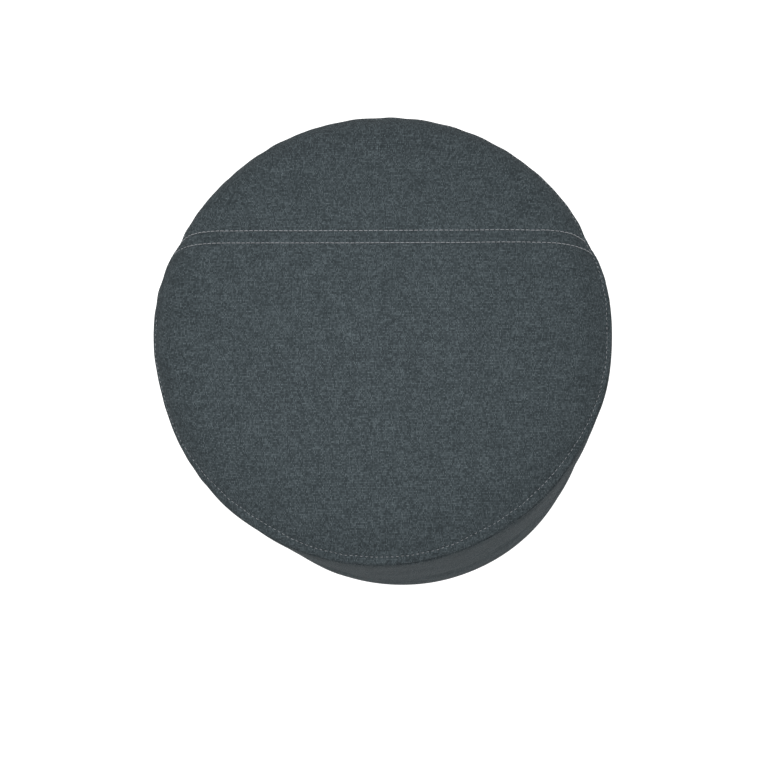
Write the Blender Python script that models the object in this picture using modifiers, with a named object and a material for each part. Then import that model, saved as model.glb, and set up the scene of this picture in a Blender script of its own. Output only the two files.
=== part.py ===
# Round drum floor cushion: a sewn and zipped woven cover over a lined foam core.
# Metres, +Z up. The origin is the middle of the flat base, on the floor.
# -Y is the front. The short top panel and the zip are at the rear, +Y.

import math

import bmesh
import bpy
from mathutils import Matrix, Vector

# Overall form
RIM_RADIUS = 0.250          # rim seam, the widest ring
TOTAL_HEIGHT = 0.350        # floor to the middle of the crown
CROWN_HEIGHT = 0.030        # rim seam up to the middle of the crown
CROWN_FLATNESS = 10.8       # higher keeps the top flat nearer the rim
RIM_ROUNDING = 1.02         # higher makes the top steeper at the rim
CROWN_SHARES = (0.0, 0.40, 0.60, 0.72, 0.80, 0.86, 0.905, 0.94, 0.97, 0.988, 1.0)   # facet rings, as shares of the radius
WALL_TOP_INSET = 0.001      # side band just under the rim seam, inside the rim
WALL_LOW_INSET = 0.006      # side band around the zip, inside the rim
STRAIGHT_HEIGHT = 0.060     # the wall is upright from the base round up to here
BASE_ROUND = 0.010          # outer radius where the side band turns under
BASE_LIFT = 0.0002          # side band's lowest line, above the floor
SEAM_BACK = 0.0995          # top seam and upright seams, behind the middle

# Cloth, thread and the gap that touching pieces keep
CLOTH = 0.0018
GAP = 0.0003
THREAD_RADIUS = 0.0004
TWIN_ROW_OFFSET = 0.007     # each seam row from its seam line
RIM_ROW_INSET = 0.008       # rim row inside the rim seam
ROW_END_GAP = 0.0015        # a row stops this far short of one that crosses it

# Lining, wadding and foam
LINING = 0.0008
LINING_BASE_ROUND = 0.008
WADDING_TOP = 0.0115
WADDING_SIDE = 0.0105
WADDING_FOOT = 0.013        # height of the side wrap's lower edge
COMFORT_LAYER = 0.090       # soft foam, down from the middle of the crown
LOWER_CORE_TOP = 0.130      # joint between the two firm blocks

# Zip, set in the rear band
ZIP_HEIGHT = 0.030          # chain line above the floor
ZIP_OPENING_CLEARANCE = 0.0007  # slider's widest part to each folded band edge
ZIP_END_MARGIN = 0.012      # chain and stops end this far behind the upright seams
TAPE_THICKNESS = 0.0008
TAPE_REACH = 0.016          # chain line to the tape's outer edge
CHAIN_SLOT_HALF = 0.0008    # chain line to each tape and chain
CHAIN_WIDTH = 0.0026
CHAIN_THICKNESS = 0.0020
STOP_LENGTH = 0.003
ZIP_ROW_OFFSET = 0.0095     # chain line to each row that holds a tape

# Slider and puller
SLIDER_LENGTH = 0.013
SLIDER_SHOULDER = 0.0005    # head wider than the tail, on each side
SLIDER_CORNER = 0.0016      # cut corner of the slider's plates
FLANGE_HALF_LENGTH = 0.0043
SLIDER_PLATE = 0.0012
SLIDER_CLEARANCE = 0.0005   # slider to tape and chain
SLIDER_NECK_HALF = 0.00045
SLIDER_NECK_LENGTH = 0.004
FLANGE_WIDTH = 0.0009
BRIDGE_RADIUS = 0.0007
BRIDGE_HALF_SPAN = 0.0036
BRIDGE_CLEAR = 0.0023       # plate to the underside of the bridge
PULLER_LENGTH = 0.024
PULLER_WIDTH = 0.0062
PULLER_THICKNESS = 0.0012
PULLER_ROUND = 0.0025       # how far the rounded end of the tab reaches
PULLER_EYE_BAR = 0.0010
PULLER_ARM = 0.0013
PULLER_WINDOW = 0.0056      # pivot to the far end of the eye
SLIDER_REST_GAP = 0.0010    # slider to the closed-end stop

# Facets
COVER_STEPS = 72
INNER_STEPS = COVER_STEPS // 3       # so that the inner facet corners line up with the cover's
ZIP_STEP_ANGLE = math.radians(2.5)
WALL_STEPS = 5
ROUND_STEPS = 3
ROW_STEPS = 20
ROW_END_STEPS = 10
CUTTER_MARGIN = 0.05        # how far the cutting boxes reach past the cushion

# Derived values
rim_height = TOTAL_HEIGHT - CROWN_HEIGHT
wall_top_radius = RIM_RADIUS - WALL_TOP_INSET
wall_low_radius = RIM_RADIUS - WALL_LOW_INSET
facet_angle = 2 * math.pi / COVER_STEPS
facet_shrink = math.cos(facet_angle / 2)
tape_outer = (wall_low_radius - CLOTH) * facet_shrink - GAP
tape_inner = tape_outer - TAPE_THICKNESS
chain_inner = tape_outer + GAP
chain_outer = chain_inner + CHAIN_THICKNESS
slider_rear_face = tape_inner * math.cos(ZIP_STEP_ANGLE / 2) - SLIDER_CLEARANCE
slider_front_face = chain_outer + SLIDER_CLEARANCE
slider_outer = slider_front_face + SLIDER_PLATE
slider_tail_half = CHAIN_SLOT_HALF + CHAIN_WIDTH + SLIDER_CLEARANCE + FLANGE_WIDTH
slider_head_half = slider_tail_half + SLIDER_SHOULDER
zip_opening_half = slider_head_half + ZIP_OPENING_CLEARANCE     # chain line to each folded band edge
slider_inner = slider_rear_face - SLIDER_PLATE
zip_recess = wall_low_radius - CLOTH - slider_inner      # room for the slider behind the cover
lining_depth = CLOTH + GAP
wadding_depth = lining_depth + LINING + GAP
foam_side_depth = wadding_depth + WADDING_SIDE + GAP
foam_top_depth = wadding_depth + WADDING_TOP + GAP


# Scene and materials

for old in list(bpy.data.objects):
    bpy.data.objects.remove(old, do_unlink=True)

parts = bpy.data.collections.new("floor_cushion")
cutters = bpy.data.collections.new("floor_cushion_cutters")
bpy.context.scene.collection.children.link(parts)
bpy.context.scene.collection.children.link(cutters)


def material(name, colour, roughness, metallic=0.0):
    """A plain Principled material; the colour is linear RGB."""
    made = bpy.data.materials.new(name)
    made.use_nodes = True
    shader = made.node_tree.nodes["Principled BSDF"]
    shader.inputs["Base Color"].default_value = (*colour, 1.0)
    shader.inputs["Roughness"].default_value = roughness
    shader.inputs["Metallic"].default_value = metallic
    made.diffuse_color = (*colour, 1.0)
    return made


def finish(name):
    """Each sub-part gets its own copy of its finish."""
    colour, roughness, metallic = FINISHES[name]
    return material(name, colour, roughness, metallic)


FINISHES = {
    "woven_cover": ((0.065, 0.083, 0.090), 0.90, 0.0),
    "base_cloth": ((0.030, 0.032, 0.034), 0.92, 0.0),
    "thread": ((0.223, 0.223, 0.240), 0.70, 0.0),
    "zip_tape": ((0.045, 0.055, 0.060), 0.85, 0.0),
    "zip_coil": ((0.040, 0.048, 0.052), 0.45, 0.0),
    "zip_metal": ((0.080, 0.080, 0.085), 0.35, 1.0),
    "lining": ((0.700, 0.690, 0.650), 0.90, 0.0),
    "wadding": ((0.820, 0.820, 0.810), 0.95, 0.0),
    "soft_foam": ((0.720, 0.700, 0.560), 0.90, 0.0),
    "firm_foam": ((0.380, 0.460, 0.560), 0.90, 0.0),
}


def add_part(name, data, look):
    part = bpy.data.objects.new(name, data)
    parts.objects.link(part)
    data.materials.append(finish(look))
    return part


def add_cutter(name, data):
    cutter = bpy.data.objects.new(name, data)
    cutters.objects.link(cutter)
    cutter.hide_render = True
    cutter.display_type = "WIRE"
    return cutter


# Lines of the turned shapes, as (radius, height) points that run down the outer side

def dome_line(depth):
    """Half section of the crowned top, `depth` inside the outer surface, from the pole to the rim."""
    line = []
    for share in CROWN_SHARES:
        up = (1 - share ** CROWN_FLATNESS) ** (1 / RIM_ROUNDING)
        line.append(((RIM_RADIUS - depth) * share, rim_height + (CROWN_HEIGHT - depth) * up))
    return line


def wall_radius(height):
    """Outer radius of the side band at a height."""
    share = (height - STRAIGHT_HEIGHT) / (rim_height - STRAIGHT_HEIGHT)
    share = min(max(share, 0.0), 1.0)
    return wall_low_radius + (wall_top_radius - wall_low_radius) * share * share * (3 - 2 * share)


def wall_line(top, bottom, depth, recess=0.0):
    """Half section of the wall between two heights; `recess` draws it in behind the zip."""
    heights = [top]
    for step in range(1, WALL_STEPS):
        height = rim_height + (STRAIGHT_HEIGHT - rim_height) * step / WALL_STEPS
        if bottom < height < top:
            heights.append(height)
    if bottom < STRAIGHT_HEIGHT < top:
        heights.append(STRAIGHT_HEIGHT)
    zip_clear_height = ZIP_HEIGHT + TAPE_REACH + GAP
    if recess and bottom < zip_clear_height < top:
        heights.append(zip_clear_height)
    heights.append(bottom)
    line = []
    for height in heights:
        share = (STRAIGHT_HEIGHT - height) / (STRAIGHT_HEIGHT - zip_clear_height)
        drawn_in = recess * min(max(share, 0.0), 1.0)
        line.append((wall_radius(height) - depth - drawn_in, height))
    return line


def base_arc(outer_radius, lift, radius, depth=0.0):
    """Quarter round that turns a wall under, without its first point."""
    middle = (outer_radius - radius, lift + radius)
    line = []
    for step in range(1, ROUND_STEPS + 1):
        angle = math.pi / 2 * step / ROUND_STEPS
        reach = radius - depth
        line.append((middle[0] + reach * math.cos(angle), middle[1] - reach * math.sin(angle)))
    return line


def turned(name, outer, inner, steps, look):
    """A slab of revolution between two half sections; lines that start on the axis are closed there."""
    points = outer + inner[::-1]
    on_axis = outer[0][0] < GAP
    edges = [(i, i + 1) for i in range(len(points) - 1)]
    if not on_axis:
        edges.append((len(points) - 1, 0))
    mesh = bpy.data.meshes.new(name)
    mesh.from_pydata([(radius, 0.0, height) for radius, height in points], edges, [])
    part = add_part(name, mesh, look)
    screw = part.modifiers.new("turn", "SCREW")
    screw.axis = "Z"
    screw.angle = 2 * math.pi
    screw.steps = steps
    screw.render_steps = steps
    screw.use_merge_vertices = True
    screw.merge_threshold = 0.00001
    return part


def keep_side(part, cutter):
    """Cut away what lies inside the cutter."""
    cut = part.modifiers.new("seam", "BOOLEAN")
    cut.operation = "DIFFERENCE"
    cut.solver = "EXACT"
    cut.object = cutter


def box_cutter(name, low, high):
    bpy.ops.mesh.primitive_cube_add(size=1.0)
    cutter = bpy.context.object
    cutter.name = name
    for collection in list(cutter.users_collection):
        collection.objects.unlink(cutter)
    cutters.objects.link(cutter)
    size = Vector(high) - Vector(low)
    middle = (Vector(high) + Vector(low)) / 2
    cutter.data.transform(Matrix.Translation(middle) @ Matrix.Diagonal((*size, 1.0)))
    cutter.hide_render = True
    cutter.display_type = "WIRE"
    return cutter


room = RIM_RADIUS + CUTTER_MARGIN
behind_seam = box_cutter("behind_seam", (-room, SEAM_BACK - GAP / 2, -CUTTER_MARGIN),
                         (room, room, TOTAL_HEIGHT + CUTTER_MARGIN))
ahead_of_seam = box_cutter("ahead_of_seam", (-room, -room, -CUTTER_MARGIN),
                           (room, SEAM_BACK + GAP / 2, TOTAL_HEIGHT + CUTTER_MARGIN))


# Cover

def top_panels():
    for name, cutter in (("top_panel_front", behind_seam), ("top_panel_rear", ahead_of_seam)):
        panel = turned(name, dome_line(0.0), dome_line(CLOTH), COVER_STEPS, "woven_cover")
        keep_side(panel, cutter)


def side_bands():
    top = rim_height - GAP
    turn_under = BASE_LIFT + BASE_ROUND
    base_outer = base_arc(wall_low_radius, BASE_LIFT, BASE_ROUND)
    base_inner = base_arc(wall_low_radius, BASE_LIFT, BASE_ROUND, CLOTH)
    front = turned("side_band_front",
                   wall_line(top, turn_under, 0.0) + base_outer,
                   wall_line(top, turn_under, CLOTH) + base_inner, COVER_STEPS, "woven_cover")
    keep_side(front, behind_seam)
    above_zip = ZIP_HEIGHT + zip_opening_half
    rear = turned("side_band_rear", wall_line(top, above_zip, 0.0),
                  wall_line(top, above_zip, CLOTH), COVER_STEPS, "woven_cover")
    keep_side(rear, ahead_of_seam)
    below_zip = ZIP_HEIGHT - zip_opening_half
    strip = turned("zip_band_lower",
                   wall_line(below_zip, turn_under, 0.0) + base_outer,
                   wall_line(below_zip, turn_under, CLOTH) + base_inner, COVER_STEPS, "woven_cover")
    keep_side(strip, ahead_of_seam)


def disc(name, radius, bottom, thickness, steps, look):
    turned(name, [(0.0, bottom + thickness), (radius, bottom + thickness), (radius, bottom)],
           [(0.0, bottom)], steps, look)


# Topstitch threads

def thread(name, points, loop=False):
    curve = bpy.data.curves.new(name, "CURVE")
    curve.dimensions = "3D"
    curve.bevel_depth = THREAD_RADIUS
    curve.bevel_resolution = 2
    curve.use_fill_caps = True
    spline = curve.splines.new("POLY")
    spline.points.add(len(points) - 1)
    for point, place in zip(spline.points, points):
        point.co = (*place, 1.0)
    spline.use_cyclic_u = loop
    return add_part(name, curve, "thread")


def on_dome(across, back, lift):
    """Point over the crowned top, `lift` above it along its normal."""
    radius = math.hypot(across, back)
    share = radius / RIM_RADIUS
    left = 1 - share ** CROWN_FLATNESS
    height = rim_height + CROWN_HEIGHT * left ** (1 / RIM_ROUNDING)
    slope = -(CROWN_HEIGHT / RIM_RADIUS * CROWN_FLATNESS / RIM_ROUNDING
              * left ** (1 / RIM_ROUNDING - 1) * share ** (CROWN_FLATNESS - 1))
    normal = Vector((-slope * across / radius, -slope * back / radius, 1.0)).normalized()
    return Vector((across, back, height)) + normal * lift


def on_wall(height, back, side, lift):
    """Point beside the wall in the plane y = back, on the left (side -1) or the right (+1)."""
    radius = wall_radius(height) + lift
    return Vector((side * math.sqrt(radius ** 2 - back ** 2), back, height))


thread_lift = GAP + THREAD_RADIUS


def rim_row():
    radius = RIM_RADIUS - RIM_ROW_INSET
    points = []
    for step in range(COVER_STEPS):
        angle = step * facet_angle
        points.append(on_dome(radius * math.cos(angle), radius * math.sin(angle), thread_lift))
    thread("rim_topstitch", points, loop=True)


def top_seam_rows():
    reach = RIM_RADIUS - RIM_ROW_INSET - ROW_END_GAP
    for name, back in (("top_seam_topstitch_front", SEAM_BACK - TWIN_ROW_OFFSET),
                       ("top_seam_topstitch_rear", SEAM_BACK + TWIN_ROW_OFFSET)):
        half_length = math.sqrt(reach ** 2 - back ** 2)
        places = {half_length * math.sin(math.pi * (step / ROW_STEPS - 0.5)) for step in range(ROW_STEPS + 1)}
        for share in CROWN_SHARES:      # a bend in the row wherever it crosses a facet ring
            ring = RIM_RADIUS * share
            if back < ring < reach:
                crossing = math.sqrt(ring ** 2 - back ** 2)
                places |= {-crossing, crossing}
        thread(name, [on_dome(across, back, thread_lift) for across in sorted(places)])


def side_seam_rows():
    top = rim_height - CLOTH
    foot = BASE_LIFT + BASE_ROUND
    above_zip_row = ZIP_HEIGHT + ZIP_ROW_OFFSET + ROW_END_GAP
    for side_name, side in (("left", -1), ("right", 1)):
        for row_name, back, bottom in (("front", SEAM_BACK - TWIN_ROW_OFFSET, foot),
                                       ("rear", SEAM_BACK + TWIN_ROW_OFFSET, above_zip_row)):
            points = []
            for step in range(ROW_END_STEPS + 1):
                height = top + (bottom - top) * step / ROW_END_STEPS
                points.append(on_wall(height, back, side, thread_lift))
            thread(f"side_seam_topstitch_{side_name}_{row_name}", points)


def zip_rows():
    radius = wall_low_radius + thread_lift
    last_back = SEAM_BACK + TWIN_ROW_OFFSET + ROW_END_GAP
    half_steps = math.floor(math.acos(last_back / radius) / facet_angle)
    for name, offset in (("zip_topstitch_upper", ZIP_ROW_OFFSET), ("zip_topstitch_lower", -ZIP_ROW_OFFSET)):
        points = []
        for step in range(-half_steps, half_steps + 1):
            angle = math.pi / 2 + step * facet_angle
            points.append(Vector((radius * math.cos(angle), radius * math.sin(angle), ZIP_HEIGHT + offset)))
        thread(name, points)


# Lining, wadding and foam

def lining():
    turned("lining_top", dome_line(lining_depth), dome_line(lining_depth + LINING), INNER_STEPS, "lining")
    floor_gap = CLOTH + GAP
    foot = floor_gap + LINING_BASE_ROUND
    outer_radius = wall_low_radius - lining_depth - zip_recess
    turned("lining_side",
           wall_line(rim_height - GAP, foot, lining_depth, zip_recess)
           + base_arc(outer_radius, floor_gap, LINING_BASE_ROUND),
           wall_line(rim_height - GAP, foot, lining_depth + LINING, zip_recess)
           + base_arc(outer_radius, floor_gap, LINING_BASE_ROUND, LINING),
           INNER_STEPS, "lining")
    disc("lining_bottom", outer_radius - LINING_BASE_ROUND - GAP, floor_gap, LINING, INNER_STEPS, "lining")


def wadding():
    turned("wadding_top", dome_line(wadding_depth), dome_line(wadding_depth + WADDING_TOP),
           INNER_STEPS, "wadding")
    turned("wadding_side", wall_line(rim_height - GAP, WADDING_FOOT, wadding_depth, zip_recess),
           wall_line(rim_height - GAP, WADDING_FOOT, wadding_depth + WADDING_SIDE, zip_recess),
           INNER_STEPS, "wadding")


def foam():
    comfort_bottom = TOTAL_HEIGHT - COMFORT_LAYER
    lowest = CLOTH + GAP + LINING + GAP
    rim_drop = dome_line(max(foam_top_depth, foam_side_depth + WALL_TOP_INSET))[:-1]
    turned("foam_comfort_layer",
           rim_drop + wall_line(rim_height, comfort_bottom, foam_side_depth, zip_recess),
           [(0.0, comfort_bottom)], INNER_STEPS, "soft_foam")
    for name, top, bottom in (("foam_core_upper", comfort_bottom - GAP, LOWER_CORE_TOP + GAP),
                              ("foam_core_lower", LOWER_CORE_TOP, lowest)):
        turned(name, [(0.0, top)] + wall_line(top, bottom, foam_side_depth, zip_recess),
               [(0.0, bottom)], INNER_STEPS, "firm_foam")


# Zip

chain_half_angle = math.acos((SEAM_BACK + ZIP_END_MARGIN) / chain_outer)
stop_angle = STOP_LENGTH / chain_outer
stop_gap_angle = GAP / chain_outer


def arc_strip(name, inner_radius, outer_radius, bottom, top, start, end, look):
    """Strip with a rectangular section, bent round the vertical axis; angles count from the rear."""
    count = max(2, math.ceil((end - start) / ZIP_STEP_ANGLE))
    angles = [math.pi / 2 + start + (end - start) * i / count for i in range(count + 1)]
    outline = [(outer_radius * math.cos(a), outer_radius * math.sin(a)) for a in angles]
    outline += [(inner_radius * math.cos(a), inner_radius * math.sin(a)) for a in reversed(angles)]
    part = add_part(name, flat_curve(name, [outline], top - bottom), look)
    part.location.z = (top + bottom) / 2
    return part


def flat_curve(name, outlines, thickness):
    """A flat outline, with holes if there is more than one, made `thickness` thick."""
    curve = bpy.data.curves.new(name, "CURVE")
    curve.dimensions = "2D"
    curve.fill_mode = "BOTH"
    curve.extrude = thickness / 2
    for outline in outlines:
        spline = curve.splines.new("POLY")
        spline.points.add(len(outline) - 1)
        for point, (x, y) in zip(spline.points, outline):
            point.co = (x, y, 0.0, 1.0)
        spline.use_cyclic_u = True
    return curve


def zip_strips():
    tape_half_angle = chain_half_angle + stop_gap_angle * 2 + stop_angle
    upper = (ZIP_HEIGHT + CHAIN_SLOT_HALF, ZIP_HEIGHT + TAPE_REACH)
    lower = (ZIP_HEIGHT - TAPE_REACH, ZIP_HEIGHT - CHAIN_SLOT_HALF)
    for name, (bottom, top) in (("zip_tape_upper", upper), ("zip_tape_lower", lower)):
        arc_strip(name, tape_inner, tape_outer, bottom, top, -tape_half_angle, tape_half_angle, "zip_tape")
    upper = (ZIP_HEIGHT + CHAIN_SLOT_HALF, ZIP_HEIGHT + CHAIN_SLOT_HALF + CHAIN_WIDTH)
    lower = (ZIP_HEIGHT - CHAIN_SLOT_HALF - CHAIN_WIDTH, ZIP_HEIGHT - CHAIN_SLOT_HALF)
    for name, (bottom, top) in (("zip_chain_upper", upper), ("zip_chain_lower", lower)):
        arc_strip(name, chain_inner, chain_outer, bottom, top, -chain_half_angle, chain_half_angle, "zip_coil")
    stop_start = chain_half_angle + stop_gap_angle
    stop_half_height = CHAIN_SLOT_HALF + CHAIN_WIDTH
    for name, start, end in (("zip_stop_closed_end", stop_start, stop_start + stop_angle),
                             ("zip_stop_open_end", -stop_start - stop_angle, -stop_start)):
        arc_strip(name, chain_inner, chain_outer, ZIP_HEIGHT - stop_half_height,
                  ZIP_HEIGHT + stop_half_height, start, end, "zip_metal")


def curve_to_mesh(curve_object):
    """The curve as a mesh with its caps welded on, in the curve's place."""
    bpy.context.view_layer.update()
    evaluated = curve_object.evaluated_get(bpy.context.evaluated_depsgraph_get())
    mesh = bpy.data.meshes.new_from_object(evaluated)
    mesh.transform(curve_object.matrix_world)
    bm = bmesh.new()
    bm.from_mesh(mesh)
    bmesh.ops.remove_doubles(bm, verts=bm.verts, dist=0.000001)
    bm.to_mesh(mesh)
    bm.free()
    name = curve_object.name
    bpy.data.objects.remove(curve_object, do_unlink=True)
    mesh.name = name
    return mesh


def add_shape(part, mesh, name):
    """Join one more solid to a part."""
    other = add_cutter(name, mesh)
    union = part.modifiers.new(name, "BOOLEAN")
    union.operation = "UNION"
    union.solver = "EXACT"
    union.object = other
    return other


# Slider and puller, drawn at the rear (radial direction +Y) and turned to their rest place

plate_stand = Matrix.Rotation(math.pi / 2, 4, "X")      # outline's up to +Z, its thickness along Y


def plate(name, outlines, thickness, middle):
    """A flat outline stood upright, facing the rear, with its origin at `middle`."""
    curve_object = bpy.data.objects.new(name, flat_curve(name, outlines, thickness))
    cutters.objects.link(curve_object)
    curve_object.matrix_world = Matrix.Translation(middle) @ plate_stand
    return curve_to_mesh(curve_object)


def rectangle(left, right, bottom, top):
    return [(left, bottom), (right, bottom), (right, top), (left, top)]


def slider_outline():
    """Shield shape: broad at the head (-X), where the chains part, and narrow at the tail."""
    head = -SLIDER_LENGTH / 2
    corner = SLIDER_CORNER
    upper = [(head, slider_head_half - corner), (head + corner, slider_head_half),
             (-head - corner / 2, slider_tail_half), (-head, slider_tail_half - corner / 2)]
    return upper + [(x, -z) for x, z in reversed(upper)]


def zip_slider(rest_turn):
    front_middle = (slider_front_face + slider_outer) / 2
    rear_middle = (slider_inner + slider_rear_face) / 2
    mesh = plate("zip_slider", [slider_outline()], SLIDER_PLATE, Vector((0.0, front_middle, 0.0)))
    slider = add_part("zip_slider", mesh, "zip_metal")
    shapes = [add_shape(slider, plate("slider_rear_plate", [slider_outline()], SLIDER_PLATE,
                                      Vector((0.0, rear_middle, 0.0))), "slider_rear_plate")]
    overlap = SLIDER_PLATE / 2
    neck_depth = slider_front_face - slider_rear_face + 2 * overlap
    neck = rectangle(-SLIDER_NECK_LENGTH, 0.0, -SLIDER_NECK_HALF, SLIDER_NECK_HALF)
    neck_middle = (slider_front_face + slider_rear_face) / 2
    shapes.append(add_shape(slider, plate("slider_neck", [neck], neck_depth,
                                          Vector((0.0, neck_middle, 0.0))), "slider_neck"))
    flange_low = chain_inner
    flange_depth = slider_front_face + overlap - flange_low
    for side_name, side in (("upper", 1), ("lower", -1)):
        edges = sorted((side * slider_tail_half, side * (slider_tail_half - FLANGE_WIDTH)))
        flange = rectangle(-FLANGE_HALF_LENGTH, FLANGE_HALF_LENGTH, *edges)
        name = f"slider_flange_{side_name}"
        shapes.append(add_shape(slider, plate(name, [flange], flange_depth,
                                              Vector((0.0, flange_low + flange_depth / 2, 0.0))), name))
    shapes.append(add_shape(slider, slider_bridge(), "slider_bridge"))
    for item in [slider] + shapes:
        item.parent = rest_turn
    return slider


def slider_bridge():
    """Arched bar over the front plate, which the puller's eye turns on."""
    curve = bpy.data.curves.new("slider_bridge", "CURVE")
    curve.dimensions = "3D"
    curve.bevel_depth = BRIDGE_RADIUS
    curve.bevel_resolution = 2
    curve.use_fill_caps = True
    foot = slider_outer - SLIDER_PLATE / 2
    top = slider_outer + BRIDGE_CLEAR + BRIDGE_RADIUS
    shoulder = BRIDGE_RADIUS
    route = [(-BRIDGE_HALF_SPAN, foot), (-BRIDGE_HALF_SPAN, top - shoulder),
             (-BRIDGE_HALF_SPAN + shoulder, top), (BRIDGE_HALF_SPAN - shoulder, top),
             (BRIDGE_HALF_SPAN, top - shoulder), (BRIDGE_HALF_SPAN, foot)]
    spline = curve.splines.new("POLY")
    spline.points.add(len(route) - 1)
    for point, (x, y) in zip(spline.points, route):
        point.co = (x, y, 0.0, 1.0)
    bridge = bpy.data.objects.new("slider_bridge", curve)
    cutters.objects.link(bridge)
    return curve_to_mesh(bridge)


def zip_puller(slider_turn):
    """Flat tab whose eye bar passes under the bridge; its origin is on that bar."""
    pivot = Vector((0.0, slider_outer + BRIDGE_CLEAR / 2, 0.0))
    half = PULLER_WIDTH / 2
    near = -PULLER_EYE_BAR / 2
    grip = PULLER_LENGTH - PULLER_ROUND
    outline = [(near, -half)]
    for step in range(ROUND_STEPS * 2 + 1):
        angle = math.pi / (ROUND_STEPS * 2) * step - math.pi / 2
        outline.append((grip + PULLER_ROUND * math.cos(angle), half * math.sin(angle)))
    outline.append((near, half))
    window = rectangle(PULLER_EYE_BAR / 2, PULLER_WINDOW, -half + PULLER_ARM, half - PULLER_ARM)
    mesh = plate("zip_puller", [outline, window], PULLER_THICKNESS, Vector((0.0, 0.0, 0.0)))
    puller = add_part("zip_puller", mesh, "zip_metal")
    puller.location = pivot
    puller.parent = slider_turn


def zip_slider_and_puller():
    rest_angle = chain_half_angle - (SLIDER_LENGTH / 2 + SLIDER_REST_GAP) / slider_front_face
    turn = bpy.data.objects.new("zip_axis", None)
    parts.objects.link(turn)
    turn.location = (0.0, 0.0, ZIP_HEIGHT)
    turn.rotation_euler.z = rest_angle
    zip_slider(turn)
    zip_puller(turn)


top_panels()
side_bands()
disc("bottom_panel", wall_low_radius - BASE_ROUND - GAP, 0.0, CLOTH, COVER_STEPS, "base_cloth")
rim_row()
top_seam_rows()
side_seam_rows()
zip_rows()
lining()
wadding()
foam()
zip_strips()
zip_slider_and_puller()
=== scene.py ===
import math

import bmesh
import bpy
import numpy as np
from mathutils import Matrix, Vector
from mathutils.geometry import delaunay_2d_cdt


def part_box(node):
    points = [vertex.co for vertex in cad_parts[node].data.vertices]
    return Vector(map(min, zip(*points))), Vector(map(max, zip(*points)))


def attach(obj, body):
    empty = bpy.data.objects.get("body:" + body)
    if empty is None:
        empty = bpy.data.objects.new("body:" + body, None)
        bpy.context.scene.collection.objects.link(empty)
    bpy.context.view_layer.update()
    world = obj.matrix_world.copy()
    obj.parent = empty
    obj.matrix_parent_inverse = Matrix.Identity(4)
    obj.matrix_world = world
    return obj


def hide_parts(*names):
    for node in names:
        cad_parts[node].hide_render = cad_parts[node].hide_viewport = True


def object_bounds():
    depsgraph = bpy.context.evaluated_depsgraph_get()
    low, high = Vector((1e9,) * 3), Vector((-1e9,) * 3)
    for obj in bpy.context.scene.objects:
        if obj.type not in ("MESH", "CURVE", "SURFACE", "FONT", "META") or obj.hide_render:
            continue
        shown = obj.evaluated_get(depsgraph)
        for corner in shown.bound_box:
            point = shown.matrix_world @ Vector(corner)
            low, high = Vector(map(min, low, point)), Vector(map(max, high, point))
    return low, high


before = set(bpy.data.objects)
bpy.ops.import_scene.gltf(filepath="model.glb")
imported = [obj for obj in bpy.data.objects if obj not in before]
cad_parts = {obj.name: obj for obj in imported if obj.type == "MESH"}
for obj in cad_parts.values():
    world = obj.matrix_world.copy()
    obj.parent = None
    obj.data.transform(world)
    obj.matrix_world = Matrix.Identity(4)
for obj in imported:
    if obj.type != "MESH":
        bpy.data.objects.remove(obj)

cadLow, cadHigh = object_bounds()
mm = 0.001


# places read from the CAD nodes
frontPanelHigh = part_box("top_panel_front")[1]
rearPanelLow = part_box("top_panel_rear")[0]
frontBandLow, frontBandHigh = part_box("side_band_front")
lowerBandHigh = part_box("zip_band_lower")[1]
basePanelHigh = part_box("bottom_panel")[1]
rimRadius = frontPanelHigh.x
rimHeight = frontBandHigh.z + 0.3 * mm
totalHeight = cadHigh[2]
seamBack = (frontPanelHigh.y + rearPanelLow.y) / 2
zipHeight = (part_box("zip_chain_lower")[1].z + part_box("zip_chain_upper")[0].z) / 2
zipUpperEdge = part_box("side_band_rear")[0].z
zipLowerEdge = lowerBandHigh.z
wallTop = -frontBandLow.y
wallLow = lowerBandHigh.y


form = {
    # the cover has crept back on its filling: flat to a sharp lip in front, rolled over the edge behind
    "frontFlatness": 9.5,       # higher keeps the top flat nearer the rim
    "frontRounding": 1.2,       # higher makes the top steeper at the rim
    "frontRimShift": 1 * mm,    # rim seam above its mean height
    "rearFlatness": 8.5,
    "rearRounding": 1.8,
    "rearRimShift": -15 * mm,
    "farSide": 118,             # degrees; where the cover sits lowest
    "flatZone": 200 * mm,       # inside this radius the cut and the plan agree
    "rimZone": 30 * mm,         # the last stretch of cloth, measured along itself
    "straightHeight": 60 * mm,  # the wall is upright below this
    "baseRound": 10 * mm,
    "baseLift": 0.2 * mm,
    "turnRadius": 1.3 * mm,     # how tightly cloth folds into a seam
    "turnStart": 1.7 * mm,      # the rim fold starts this far inside the rim
    "flap": 2.6 * mm,           # hidden seam allowance that runs on inside
    "clothThickness": 1.0 * mm,
    "swell": 2.2 * mm,          # most that the filling pushes the cloth out
    "straighten": 0.6,          # how far the seam keeps straight in plan where the top rolls over
}
crownHeight = totalHeight - rimHeight


# smooth step from 0 at low to 1 at high
def smooth(low, high, value):
    share = np.clip((value - low) / (high - low), 0.0, 1.0)
    return share * share * (3 - 2 * share)


def bump(value, middle, width):
    return np.exp(-((value - middle) / width) ** 2)


# smooth wandering line between about -1 and 1
def ripples(position, wavelength, seed, count=7):
    chance = np.random.default_rng(seed)
    total = np.zeros_like(position, dtype=float)
    for _ in range(count):
        total += np.sin(2 * math.pi * position / (wavelength * chance.uniform(0.7, 1.6))
                        + chance.uniform(0, 2 * math.pi))
    return total / math.sqrt(count)


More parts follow.
